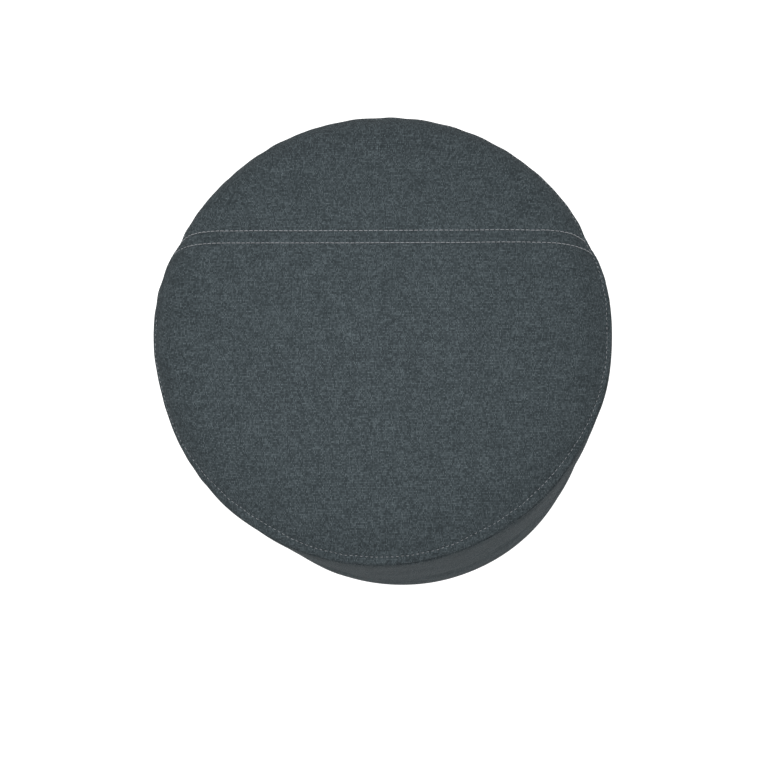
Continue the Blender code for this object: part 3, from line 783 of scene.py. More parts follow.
# moulded nylon coil: dark, slightly glossy
coilNylon = grainMaterial("mouldedNylonCoil", {"Roughness": 0.38, "IOR": 1.53},
                          "#24292b", "#2f3538", 2 * mm, 0.03 * mm)
# die-cast zinc with a dark nickel finish: smooth metal with faint casting grain
zipMetal = grainMaterial("dieCastZincDarkNickel", {"Roughness": 0.32, "Metallic": 1.0},
                         "#4d4e50", "#5d5e60", 1.2 * mm, 0.02 * mm)
# carded polyester fibre: white, soft and fuzzy
fibreWadding = grainMaterial("polyesterFibreWadding", {"Roughness": 0.95, "IOR": 1.45, "Sheen Weight": 0.4},
                             "#d9d9d6", "#f2f2ef", 3 * mm, 0.8 * mm)
# cut polyurethane foam, soft grade: cream with fine open cells
softFoam = grainMaterial("openCellSoftFoam", {"Roughness": 0.9, "IOR": 1.45},
                         "#cbc4a2", "#e0dabc", 1.2 * mm, 0.4 * mm)
# cut polyurethane foam, firm grade: tinted blue-grey by its maker
firmFoam = grainMaterial("openCellFirmFoam", {"Roughness": 0.9, "IOR": 1.45},
                         "#8496a8", "#9fb0c0", 1.0 * mm, 0.4 * mm)
print("materials ready")


topPanels = {
    "rowSteps": [0.05, 0.2, 0.4, 0.7, 1.1, 1.7, 2.6, 3.8, 5.0, 5.9, 6.4, 6.8, 7.2, 7.6, 8.2, 9.0,
                 10.0, 11.2, 12.6, 14.5, 17.0],     # mm from the seam
    "ringSteps": [0.0, 0.4, 0.9, 1.5, 2.2, 2.9, 3.8, 4.8, 5.8, 6.6, 7.2, 7.7, 8.2, 8.8, 9.6,
                  10.6, 11.6, 12.8, 14.2, 16.0, 18.5],     # mm inside the rim fold
    "spacing": 1.6 * mm,        # along the seams
    "latticeSpacing": 4.2 * mm,
}


# points of a top panel's flat cut: close rows by the seam, close rings by the rim, a loose lattice between
def panelCut(side):
    rows = np.array(topPanels["rowSteps"]) * mm
    rings = planEdge - np.array(topPanels["ringSteps"]) * mm
    spacing = topPanels["spacing"]
    points = []
    lastRow, lastRing = rows[-1], rings[-1]
    for row in rows:
        y = seamBack + side * row
        limit = math.sqrt(lastRing ** 2 - y * y) - spacing * 0.7
        count = int(2 * limit / spacing)
        points += [(x, y) for x in np.linspace(-limit, limit, count)]
        for ring in rings:
            x = math.sqrt(ring ** 2 - y * y)
            points += [(-x, y), (x, y)]
    for ring in rings:
        count = int(2 * math.pi * ring / spacing)
        for angle in np.arange(count) * 2 * math.pi / count:
            x, y = ring * math.cos(angle), ring * math.sin(angle)
            if (y - seamBack) * side > lastRow + spacing * 0.6:
                points.append((x, y))
    step = topPanels["latticeSpacing"]
    reach = int(rimRadius / step) + 2
    for j in range(-reach, reach * 2):
        for i in range(-reach * 2, reach * 2):
            x, y = (i + 0.5 * (j % 2)) * step, j * step * 0.866
            if math.hypot(x, y) < lastRing - step * 0.6 and (y - seamBack) * side > lastRow + step * 0.6:
                points.append((x, y))
    return points


def topPanel(name, side):
    cut = panelCut(side)
    flat, _, faces, _, _, _ = delaunay_2d_cdt([Vector(p) for p in cut], [], [], 0, 1e-7)
    flat = np.array([tuple(p) for p in flat])
    faces = [list(f) for f in faces]
    places, normals = topSurface(flat[:, 0], flat[:, 1])
    a, b, c = flat[faces[0][0]], flat[faces[0][1]], flat[faces[0][2]]
    if (b[0] - a[0]) * (c[1] - a[1]) - (b[1] - a[1]) * (c[0] - a[0]) < 0:
        faces = [f[::-1] for f in faces]
    reach = np.hypot(flat[:, 0], flat[:, 1])
    clothReach = np.interp(reach, frontLineTop[0], frontLineTop[3])
    uv = flat * (clothReach / np.maximum(reach, 1e-9))[:, None]
    edges = boundaryEdges(faces)
    follow = dict(edges)
    first = edges[0][0]
    loop = [first]
    while follow[loop[-1]] != first:
        loop.append(follow[loop[-1]])
    loop = np.array(loop)
    onRim = planEdge - reach[loop] < 0.02 * mm
    onSeam = np.abs(flat[loop, 1] - seamBack) < 0.1 * mm
    radial = places[loop] * (1, 1, 0)
    radial /= np.linalg.norm(radial, axis=1)[:, None]
    direction = -radial * onRim[:, None] - normals[loop] * (onSeam & ~onRim)[:, None]
    rings, uvs = [places], [uv]
    count = len(places)
    steps = 3
    outward = flat[loop] * 0
    outward[onRim] = (flat[loop] / reach[loop][:, None])[onRim]
    outward[onSeam & ~onRim] = (0, -side)
    for step in range(1, steps + 1):
        travel = form["flap"] * step / steps
        rings.append(places[loop] + direction * travel)
        uvs.append(uv[loop] + outward * travel)
        start = count + (step - 1) * len(loop)
        before = loop if step == 1 else np.arange(start - len(loop), start)
        for k in range(len(loop)):
            after = (k + 1) % len(loop)
            faces.append([int(before[k]), start + k, start + after, int(before[after])])
    return clothShell(name, np.concatenate(rings), faces, np.concatenate(uvs), coverCloth)


topPanelFront = topPanel("topPanelFront", -1)
topPanelRear = topPanel("topPanelRear", 1)
print("top panels ready:", len(topPanelFront.data.polygons), len(topPanelRear.data.polygons), "faces")


# a side panel between the two upright seams, as a grid of rows down the half section
def bandPanel(name, isRear, line, edge=None):
    reach, places, normals = line
    near = np.array(sideBands["columnSteps"]) * mm
    middleRadius = (wallTop + wallLow) / 2
    seamAngle = math.asin(seamBack / middleRadius)
    span = math.pi - 2 * seamAngle if isRear else math.pi + 2 * seamAngle
    length = span * middleRadius
    between = np.linspace(near[-1], length - near[-1], int((length - 2 * near[-1]) / sideBands["spacing"]))
    travel = np.concatenate([near, between[1:-1], length - near[::-1]])
    under = form["flap"] * np.array([1.0, 0.5])
    depth = np.concatenate([under, np.zeros(len(travel)), under[::-1]])
    travel = np.concatenate([[travel[0]] * 2, travel, [travel[-1]] * 2])
    rows, columns = len(reach), len(travel)
    radius = np.maximum(places[:, 0], seamBack + 1 * mm)
    seamAngles = np.arcsin(seamBack / radius)
    spans = np.pi - 2 * seamAngles if isRear else np.pi + 2 * seamAngles
    share = travel / length
    if isRear:
        angle = seamAngles[:, None] + spans[:, None] * share
    else:
        angle = seamAngles[:, None] - spans[:, None] * share
    fromRight = np.broadcast_to(travel, (rows, columns))
    fromLeft = length - fromRight
    index = np.repeat(np.arange(rows), columns)
    table = (reach[index], places[index], normals[index])
    points, _ = wallSurface(fromRight.ravel(), fromLeft.ravel(), table, angle.ravel(),
                            extra=-np.tile(depth, rows), seed=61 if isRear else 41, edge=edge)
    way = 1 if isRear else -1
    uv = np.stack([np.tile(travel + way * (np.sign(travel - length / 2)) * depth, rows), -reach[index]], -1)
    faces = gridFaces(rows, columns)
    if not isRear:
        faces = [f[::-1] for f in faces]
    return clothShell(name, points, faces, uv, coverCloth)


# part of the side's half section, with a folded edge at its top or foot
def linePart(top, bottom, foldTop=False, foldFoot=False):
    a = seams["foldRadius"]
    keep = (wallPlaces[:, 1] <= top) & (wallPlaces[:, 1] >= bottom)
    inner = wallPlaces[:, 0] < wallLow - form["baseRound"] + 0.1 * mm
    points = wallPlaces[keep & (~inner | (wallPlaces[:, 1] < 5 * mm) | (wallPlaces[:, 1] > rimHeight - 5 * mm))]
    turn = np.linspace(0, math.pi / 2, 6)
    turnUnder = form["flap"] * 2.5       # the folded hem runs on behind
    if foldFoot:
        r = float(wallRadius(bottom))
        points = points[points[:, 1] > bottom + 8 * mm]
        near = bottom + np.arange(8 * mm, 1.2 * a, -0.6 * mm)
        fold = [(r - a * (1 - math.cos(t)), bottom + a * (1 - math.sin(t))) for t in turn]
        fold += [(r - a - 0.5 * mm, bottom + 0.1 * mm), (r - 3.2 * a, bottom + a), (r - 3.3 * a, bottom + turnUnder)]
        points = np.concatenate([points, np.stack([wallRadius(near), near], -1), fold])
    if foldTop:
        r = float(wallRadius(top))
        points = points[points[:, 1] < top - 8 * mm]
        near = top - np.arange(1.2 * a, 8 * mm, 0.6 * mm)
        fold = [(r - a * (1 - math.cos(t)), top - a * (1 - math.sin(t))) for t in turn]
        fold += [(r - a - 0.5 * mm, top - 0.1 * mm), (r - 3.2 * a, top - a), (r - 3.3 * a, top - turnUnder)]
        points = np.concatenate([fold[::-1], np.stack([wallRadius(near), near], -1), points])
    reach, _, normals = lineTable(points)
    if foldFoot:
        normals[-9:] = (1, 0)        # the hem moves in and out with the cloth in front of it
    if foldTop:
        normals[:9] = (1, 0)
    return reach, points, normals


sideBandFront = bandPanel("sideBandFront", False, (wallReach, wallPlaces, wallNormals))
sideBandRear = bandPanel("sideBandRear", True, linePart(totalHeight, zipUpperEdge, foldFoot=True),
                         (zipUpperEdge, 1))
zipBandLower = bandPanel("zipBandLower", True, linePart(zipLowerEdge, -1.0, foldTop=True), (zipLowerEdge, -1))
print("side bands ready:", len(sideBandFront.data.polygons), len(sideBandRear.data.polygons), "faces")


# flat disc of base cloth whose edge turns up into the base seam
def basePanel():
    a = 1.0 * mm
    edge = basePanelHigh.x
    steps = 180
    line = [(edge - a * 0.3, a + 1.6 * mm), (edge - a * 0.3, a + 0.8 * mm)]
    line += [(edge - a + a * math.cos(t) * 0.7, a * (1 - math.sin(t))) for t in np.linspace(0, math.pi / 2, 6)]
    line += [(r, 0.0) for r in np.concatenate([[edge - 3 * mm, edge - 6 * mm, edge - 9 * mm],
                                               np.linspace(edge - 16 * mm, 8 * mm, 24)])]
    line = np.array(line)
    angles = np.arange(steps) * 2 * math.pi / steps
    points, uv = [], []
    for r, z in line:
        for angle in angles:
            rise = 0.12 * mm * (1 + patches(np.array([r * math.cos(angle)]), np.array([r * math.sin(angle)]),
                                            60 * mm, 71)[0]) if z < 0.01 * mm and r < edge - 7 * mm else 0.0
            points.append((r * math.cos(angle), r * math.sin(angle), z + max(rise, 0.0)))
            uv.append((r * math.cos(angle), r * math.sin(angle)))
    faces = gridFaces(len(line), steps, wraps=True)
    points.append((0.0, 0.0, 0.1 * mm))
    uv.append((0.0, 0.0))
    pole = len(points) - 1
    last = (len(line) - 1) * steps
    faces += [[last + i, pole, last + (i + 1) % steps] for i in range(steps)]
    return clothShell("basePanel", points, [f[::-1] for f in faces], np.array(uv), baseCloth)


basePanelPiece = basePanel()


# repeats one small piece along a path, standing on the path's own up direction
def pathTree():
    tree = bpy.data.node_groups.new("pieceAlongPath", "GeometryNodeTree")
    for name, kind in (("Geometry", "Geometry"), ("Piece", "Object"), ("Pitch", "Float"), ("Unevenness", "Float"),
                       ("Seed", "Int"), ("Finish", "Material")):
        tree.interface.new_socket(name, in_out="INPUT", socket_type="NodeSocket" + kind)
    tree.interface.new_socket("Geometry", in_out="OUTPUT", socket_type="NodeSocketGeometry")
    given = addNode(tree, "NodeGroupInput")
    line = addNode(tree, "GeometryNodeMeshToCurve", {}, {"Mesh": (given, "Geometry")})
    spaced = addNode(tree, "GeometryNodeResampleCurve", {"mode": "LENGTH"},
                     {"Curve": (line, 0), "Length": (given, "Pitch")})
    piece = addNode(tree, "GeometryNodeObjectInfo", {"transform_space": "ORIGINAL"}, {"Object": (given, "Piece")})
    tangent = addNode(tree, "GeometryNodeInputTangent")
    up = addNode(tree, "GeometryNodeInputNamedAttribute", {"data_type": "FLOAT_VECTOR"}, {"Name": "up"})
    along = addNode(tree, "FunctionNodeAlignRotationToVector", {"axis": "X"}, {"Vector": (tangent, 0)})
    stood = addNode(tree, "FunctionNodeAlignRotationToVector", {"axis": "Z", "pivot_axis": "X"},
                    {"Rotation": (along, 0), "Vector": (up, 0)})
    least = addNode(tree, "ShaderNodeMath", {"operation": "SUBTRACT"}, {0: 1.0, 1: (given, "Unevenness")})
    most = addNode(tree, "ShaderNodeMath", {"operation": "ADD"}, {0: 1.0, 1: (given, "Unevenness")})
    size = addNode(tree, "FunctionNodeRandomValue", {"data_type": "FLOAT"},
                   {2: (least, 0), 3: (most, 0), "Seed": (given, "Seed")})
    copies = addNode(tree, "GeometryNodeInstanceOnPoints", {},
                     {"Points": (spaced, 0), "Instance": (piece, "Geometry"), "Rotation": (stood, 0),
                      "Scale": (size, 1)})
    solid = addNode(tree, "GeometryNodeRealizeInstances", {}, {"Geometry": (copies, 0)})
    finished = addNode(tree, "GeometryNodeSetMaterial", {}, {"Geometry": (solid, 0), "Material": (given, "Finish")})
    result = addNode(tree, "NodeGroupOutput")
    tree.links.new(finished.outputs[0], result.inputs["Geometry"])
    return tree


alongPath = pathTree()


# one mesh of many small pieces along a path of places and up directions
def repeatAlong(name, path, ups, piece, pitch, finish, uneven=0.0, seed=1, closed=False):
    count = len(path)
    edges = [(i, i + 1) for i in range(count - 1)] + ([(count - 1, 0)] if closed else [])
    guide = bpy.data.meshes.new(name)
    guide.from_pydata(np.asarray(path).tolist(), edges, [])
    guide.attributes.new("up", "FLOAT_VECTOR", "POINT").data.foreach_set("vector", np.asarray(ups).ravel())
    carrier = bpy.data.objects.new(name, guide)
    bpy.context.scene.collection.objects.link(carrier)
    values = {"Piece": piece, "Pitch": pitch, "Unevenness": uneven, "Seed": seed, "Finish": finish}
    modifier = carrier.modifiers.new("pieces", "NODES")
    modifier.node_group = alongPath
    for item in alongPath.interface.items_tree:
        if item.in_out == "INPUT" and item.name in values:
            modifier[item.identifier] = values[item.name]
    made = bpy.data.meshes.new_from_object(carrier.evaluated_get(bpy.context.evaluated_depsgraph_get()))
    carrier.modifiers.clear()
    carrier.data = made
    made.name = name
    if "up" in made.attributes:
        made.attributes.remove(made.attributes["up"])
    made.polygons.foreach_set("use_smooth", [True] * len(made.polygons))
    return carrier


# a small closed shape that the geometry nodes copy
def helperPiece(name, points, faces):
    mesh = bpy.data.meshes.new(name)
    mesh.from_pydata(points, [], faces)
    shape = bmesh.new()
    shape.from_mesh(mesh)
    bmesh.ops.recalc_face_normals(shape, faces=shape.faces)
    shape.to_mesh(mesh)
    shape.free()
    helper = bpy.data.objects.new(name, mesh)
    bpy.context.scene.collection.objects.link(helper)
    helper.hide_render = True
    return helper


# a small closed tube through given places in the XZ plane
def tubeAlong(name, places, radii, sides=6):
    points, faces = [], []
    places = np.array(places, float)
    heading = np.gradient(places, axis=0)
    heading /= np.linalg.norm(heading, axis=1)[:, None]
    for (x, y, z), (hx, hy, hz), radius in zip(places, heading, radii):
        side = Vector((hx, hy, hz)).cross(Vector((0, 1, 0))).normalized()
        other = Vector((hx, hy, hz)).cross(side)
        for k in range(sides):
            angle = 2 * math.pi * k / sides
            points.append(Vector((x, y, z)) + radius * (math.cos(angle) * side + math.sin(angle) * other))
    count = len(places)
    for j in range(count - 1):
        for k in range(sides):
            a, b = j * sides + k, j * sides + (k + 1) % sides
            faces.append((a, b, b + sides, a + sides))
    faces.append(tuple(range(sides))[::-1])
    faces.append(tuple(range((count - 1) * sides, count * sides)))
    return helperPiece(name, points, faces)


stitching = {
    "threadRadius": 0.36 * mm,
    "seamShare": 0.86,      # part of a stitch that lies on top
    "rimShare": 0.58,
    "rise": 0.42 * mm,      # crown of a stitch above the sunk cloth
    "sink": 0.35 * mm,      # its ends, down in the needle holes
}


# one stitch: an arched thread that dives at both ends
def stitchPiece(name, share, thin=1.0):
    length = seams["stitch"] * share
    radius = stitching["threadRadius"] * thin
    places, radii = [], []
    for k in range(7):
        x = k / 6 * 2 - 1
        drop = abs(x) ** 3
        places.append((x * length / 2, 0.0, stitching["rise"] * (1 - drop) - stitching["sink"] * drop))
        radii.append(radius * (1 - 0.35 * abs(x) ** 4))
    return tubeAlong(name, places, radii)


seamStitch = stitchPiece("seamStitch", stitching["seamShare"])
rimStitch = stitchPiece("rimStitch", stitching["rimShare"], 0.66)


def stitchRow(name, places, ups, seed):
    return repeatAlong(name, places, ups, seamStitch, seams["stitch"], threadYarn, 0.05, seed)


def topRow(name, side, seed):
    y = seamBack + side * seams["rowOffset"]
    reach = planEdge - rimRowAt(math.radians(20)) - 1.6 * mm
    half = math.sqrt(reach ** 2 - y * y)
    x = np.linspace(-half, half, 700)
    places, ups = topSurface(x, np.full_like(x, y))
    return stitchRow(name, places + ups * (seams["rowSink"] * 0.3), ups, seed)


def rimRowPath():
    angle = np.arange(1400) * 2 * math.pi / 1400
    reach = planEdge - rimRowAt(angle)
    places, ups = topSurface(reach * np.cos(angle), reach * np.sin(angle))
    return places + ups * (seams["rowSink"] * 0.15), ups


rimTopstitch = repeatAlong("rimTopstitch", *rimRowPath(), rimStitch, seams["stitch"], threadYarn, 0.07, 5, closed=True)
topSeamTopstitchFront = topRow("topSeamTopstitchFront", -1, 6)
topSeamTopstitchRear = topRow("topSeamTopstitchRear", 1, 7)


# a row beside an upright seam; side is -1 on the left, 1 on the right
def uprightRow(name, side, isRear, seed):
    foot = zipUpperEdge + sideBands["zipRow"] + 1.5 * mm if isRear else form["baseRound"]
    z = np.linspace(rimHeight - 3 * mm, foot, 420)
    radius = wallRadius(z)
    middleRadius = (wallTop + wallLow) / 2
    offset = seams["rowOffset"]
    seamAngle = np.arcsin(seamBack / radius)
    turn = offset / middleRadius * (1 if isRear else -1)
    angle = seamAngle + turn
    if side < 0:
        angle = math.pi - angle
    reach = np.zeros_like(z)
    normals = np.stack([np.ones_like(z), np.zeros_like(z)], -1)
    distance = np.full_like(z, offset)
    places, ups = wallSurface(distance if side > 0 else distance + 1, distance if side < 0 else distance + 1,
                              (reach, np.stack([radius, z], -1), normals), angle, seed=61 if isRear else 41,
                              edge=(zipUpperEdge, 1) if isRear else None)
    return stitchRow(name, places + ups * (seams["rowSink"] * 0.3), ups, seed)


uprightRows = []
for sideName, side in (("Left", -1), ("Right", 1)):
    for rowName, isRear in (("Front", False), ("Rear", True)):
        row = uprightRow(f"sideSeamTopstitch{sideName}{rowName}", side, isRear, 8 + len(uprightRows))
        uprightRows.append((row, f"side_seam_topstitch_{sideName.lower()}_{rowName.lower()}"))


def zipRow(name, foldHeight, way, seed):
    seamAngle = math.asin(seamBack / wallLow)
    margin = (seams["rowOffset"] + 1.5 * mm) / wallLow
    angle = np.linspace(seamAngle + margin, math.pi - seamAngle - margin, 900)
    length = (math.pi - 2 * seamAngle) * (wallTop + wallLow) / 2
    travel = (angle - seamAngle) / (math.pi - 2 * seamAngle) * length
    flat = np.full_like(angle, foldHeight + way * sideBands["zipRow"])
    places, ups = wallSurface(travel, length - travel, (flat, np.stack([wallRadius(flat), flat], -1),
                                                        np.stack([np.ones_like(angle), flat * 0], -1)),
                              angle, seed=61, edge=(foldHeight, way))
    return stitchRow(name, places + ups * (sideBands["zipSink"] * 0.8), ups, seed)


zipTopstitchUpper = zipRow("zipTopstitchUpper", zipUpperEdge, 1, 14)
zipTopstitchLower = zipRow("zipTopstitchLower", zipLowerEdge, -1, 15)
print("stitches ready")


zipParts = {
    "toothPitch": 1.9 * mm,
    "wireRadius": 0.42 * mm,
    "chainDepth": 2.0 * mm,
    "tapeRib": 0.1 * mm,        # half the height of a rib
    "ribSpacing": 2.4 * mm,
    "tapeThickness": 0.6 * mm,
}


# coil elements side by side along the tape, heads toward the middle line
def chainOf(name, node, flip, seed):
    low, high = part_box(node)
    outer = high.y
    depth = zipParts["chainDepth"]
    middle = outer - depth / 2
    halfAngle = math.atan2(high.x, math.sqrt(outer ** 2 - high.x ** 2)) - 0.6 * zipParts["toothPitch"] / outer
    angle = np.linspace(math.pi / 2 - halfAngle, math.pi / 2 + halfAngle, 600)
    height = (low.z + high.z) / 2
    path = np.stack([middle * np.cos(angle), middle * np.sin(angle), np.full_like(angle, height)], -1)
    ups = np.stack([np.cos(angle), np.sin(angle), np.zeros_like(angle)], -1)
    width = high.z - low.z
    helper = toothPiece(name + "Tooth", width, depth, flip)
    chain = repeatAlong(name, path, ups, helper, zipParts["toothPitch"], coilNylon, 0.0, seed)
    bpy.data.objects.remove(helper, do_unlink=True)
    return chain


# a wire loop in the plane across the chain: up from the tape, over, and down again, with a wider head
def toothPiece(name, width, depth, flip):
    r = zipParts["wireRadius"]
    places, radii = [], []
    steps = 10
    for k in range(steps):
        turn = 2 * math.pi * k / steps
        places.append((0.12 * mm * math.sin(turn), math.cos(turn) * (width / 2 - r), math.sin(turn) * (depth / 2 - r)))
        radii.append(r * (1.25 if flip * math.cos(turn) > 0.75 else 1.0))
    return ringTube(name, places, radii)


# a closed ring of tube through places round the X axis
def ringTube(name, places, radii, sides=6):
    points, faces = [], []
    places = np.array(places, float)
    heading = np.roll(places, -1, 0) - np.roll(places, 1, 0)
    heading /= np.linalg.norm(heading, axis=1)[:, None]
    for place, way, radius in zip(places, heading, radii):
        side = Vector((1, 0, 0))
        other = Vector(way).cross(side).normalized()
        for k in range(sides):
            angle = 2 * math.pi * k / sides
            points.append(Vector(place) + radius * (math.cos(angle) * side + math.sin(angle) * other))
    count = len(places)
    for j in range(count):
        for k in range(sides):
            a, b = j * sides + k, j * sides + (k + 1) % sides
            c, d = (j + 1) % count * sides + (k + 1) % sides, (j + 1) % count * sides + k
            faces.append((a, b, c, d))
    return helperPiece(name, points, faces)


zipChainUpper = chainOf("zipChainUpper", "zip_chain_upper", -1, 16)
zipChainLower = chainOf("zipChainLower", "zip_chain_lower", 1, 17)


# a ribbed strip of woven tape behind the chain
def zipTape(name, node):
    low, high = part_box(node)
    outer = high.y
    halfAngle = math.atan2(high.x, math.sqrt(outer ** 2 - high.x ** 2))
    columns = 220
    angle = np.linspace(math.pi / 2 - halfAngle, math.pi / 2 + halfAngle, columns)
    heights = np.linspace(low.z, high.z, 26)
    points, uv = [], []
    for height in heights:
        rib = zipParts["tapeRib"] * math.cos(2 * math.pi * (height - low.z) / zipParts["ribSpacing"])
        for a in angle:
            r = outer - zipParts["tapeRib"] + rib
            points.append((r * math.cos(a), r * math.sin(a), height))
            uv.append((a * outer, height))
    faces = [f[::-1] for f in gridFaces(len(heights), columns)]
    return clothShell(name, points, faces, np.array(uv), tapeCloth, zipParts["tapeThickness"])


zipTapeUpper = zipTape("zipTapeUpper", "zip_tape_upper")
zipTapeLower = zipTape("zipTapeLower", "zip_tape_lower")


# the CAD solid's shape with its edges rounded
def softened(name, node, width, look):
    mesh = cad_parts[node].data.copy()
    mesh.name = name
    shape = bmesh.new()
    shape.from_mesh(mesh)
    bmesh.ops.remove_doubles(shape, verts=shape.verts, dist=1e-6)
    bmesh.ops.dissolve_limit(shape, angle_limit=math.radians(1), verts=shape.verts, edges=shape.edges)
    shape.to_mesh(mesh)
    shape.free()
    mesh.materials.clear()
    mesh.materials.append(look)
    piece = bpy.data.objects.new(name, mesh)
    bpy.context.scene.collection.objects.link(piece)
    bevel = piece.modifiers.new("edges", "BEVEL")
    bevel.width = width
    bevel.segments = 3
    bevel.limit_method = "ANGLE"
    bevel.angle_limit = math.radians(35)
    made = bpy.data.meshes.new_from_object(piece.evaluated_get(bpy.context.evaluated_depsgraph_get()))
    piece.modifiers.clear()
    piece.data = made
    made.name = name
    made.polygons.foreach_set("use_smooth", [True] * len(made.polygons))
    return piece


zipSlider = softened("zipSlider", "zip_slider", 0.22 * mm, zipMetal)
zipPuller = softened("zipPuller", "zip_puller", 0.3 * mm, zipMetal)
zipStopClosedEnd = softened("zipStopClosedEnd", "zip_stop_closed_end", 0.35 * mm, zipMetal)
zipStopOpenEnd = softened("zipStopOpenEnd", "zip_stop_open_end", 0.35 * mm, zipMetal)
print("zip ready")


filling = {
    "liningDepth": 5.6 * mm, "liningThickness": 0.7 * mm,
    "waddingDepth": 6.8 * mm, "waddingThickness": 9.5 * mm,
    "foamDepth": 17.0 * mm,
    "foamEdge": 6 * mm,
    "comfortBottom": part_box("foam_comfort_layer")[0].z,
    "coreJoint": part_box("foam_core_lower")[1].z,
    "floorGap": 2.6 * mm,
}


# a closed shape of revolution through a loop or a pole-to-pole line of (radius, height)
def turned(name, line, look, steps=96, relief=0.0, size=9 * mm, seed=81):
    line = np.array(line, float)
    angles = np.arange(steps) * 2 * math.pi / steps
    hasPoles = line[0][0] < 1e-6
    body = line[1:-1] if hasPoles else line
    points = []
    for r, z in body:
        x, y = r * np.cos(angles), r * np.sin(angles)
        wave = 1 + relief * patches(angles * rimRadius, np.full(steps, z + r * 0.7), size, seed) / max(r, 0.05)
        points += list(zip(x * wave, y * wave, np.full(steps, z)))
    rows = len(body)
    faces = gridFaces(rows, steps, wraps=True)
    uv = [(math.atan2(p[1], p[0]) * rimRadius, p[2]) for p in points]
    if hasPoles:
        points += [(0, 0, line[0][1]), (0, 0, line[-1][1])]
        uv += [(0, 0), (0, 0)]
        first, last = len(points) - 2, len(points) - 1
        faces += [[first, i, (i + 1) % steps] for i in range(steps)]
        faces += [[last, (rows - 1) * steps + (i + 1) % steps, (rows - 1) * steps + i] for i in range(steps)]
    else:
        faces += [[(rows - 1) * steps + i, i, (i + 1) % steps, (rows - 1) * steps + (i + 1) % steps]
                  for i in range(steps)]
    piece = makeMesh(name, points, faces, look, uv)
    shape = bmesh.new()
    shape.from_mesh(piece.data)
    bmesh.ops.recalc_face_normals(shape, faces=shape.faces)
    shape.to_mesh(piece.data)
    shape.free()
    return piece


def innerTop(depth, edge, count=26):
    radii = np.linspace(0, edge, count)
    return [(r, float(crownHeightAt(r)) - depth) for r in radii]


def innerWall(depth, top, bottom, count=24):
    return [(float(wallRadius(z)) - depth, z) for z in np.linspace(top, bottom, count)]


def crownShell(name, depth, thickness, look, relief=0.0):
    edge = wallTop - depth
    outer = innerTop(depth, edge - 1 * mm)
    outer[-1] = (edge - 1 * mm, min(outer[-1][1], rimHeight - 0.5 * mm))
    inner = [(r, z - thickness) for r, z in outer]
    return turned(name, outer + inner[::-1], look, relief=relief)


def wallShell(name, depth, thickness, foot, look, relief=0.0):
    outer = innerWall(depth, rimHeight - 4 * mm, foot)
    inner = [(r - thickness, z) for r, z in outer]
    return turned(name, outer + inner[::-1], look, relief=relief)


def foamBlock(name, top, bottom, look, crowned=False):
    depth, edge = filling["foamDepth"], filling["foamEdge"]
    rounded = [(edge * (1 - math.cos(t)), edge * (1 - math.sin(t))) for t in np.linspace(0, math.pi / 2, 5)]
    if crowned:
        line = innerTop(depth, wallTop - depth - edge)
        corner = line[-1][1]
    else:
        line = [(0.0, top), (0.12, top), (float(wallRadius(top)) - depth - edge, top)]
        corner = top
    side = float(wallRadius(corner)) - depth
    line = line[:-1] + [(side - dx, corner - dz) for dx, dz in rounded[::-1]]
    line += innerWall(depth, corner - edge - 2 * mm, bottom + edge, 10)
    foot = float(wallRadius(bottom)) - depth
    line += [(foot - dx, bottom + dz) for dx, dz in rounded[1:]] + [(0.12, bottom), (0.0, bottom)]
    return turned(name, line, look)


liningTop = crownShell("liningTop", filling["liningDepth"], filling["liningThickness"], liningCloth)
liningSide = wallShell("liningSide", filling["liningDepth"], filling["liningThickness"], filling["floorGap"] + 1 * mm,
                       liningCloth)
floorGap, liningHeight = filling["floorGap"], filling["floorGap"] + filling["liningThickness"]
liningEdge = wallLow - filling["liningDepth"] - 2 * mm
liningBottom = turned("liningBottom", [(0.0, liningHeight), (0.12, liningHeight), (liningEdge, liningHeight),
                                       (liningEdge, floorGap), (0.12, floorGap), (0.0, floorGap)], liningCloth)
waddingTop = crownShell("waddingTop", filling["waddingDepth"], filling["waddingThickness"], fibreWadding, 0.5 * mm)
waddingSide = wallShell("waddingSide", filling["waddingDepth"], filling["waddingThickness"], 13 * mm, fibreWadding,
                        0.5 * mm)
foamComfortLayer = foamBlock("foamComfortLayer", 0, filling["comfortBottom"], softFoam, crowned=True)
foamCoreUpper = foamBlock("foamCoreUpper", filling["comfortBottom"] - 0.4 * mm, filling["coreJoint"] + 0.4 * mm,
                          firmFoam)
foamCoreLower = foamBlock("foamCoreLower", filling["coreJoint"], filling["floorGap"] + 1.4 * mm, firmFoam)
print("filling ready")

for helper in (seamStitch, rimStitch):
    bpy.data.objects.remove(helper, do_unlink=True)


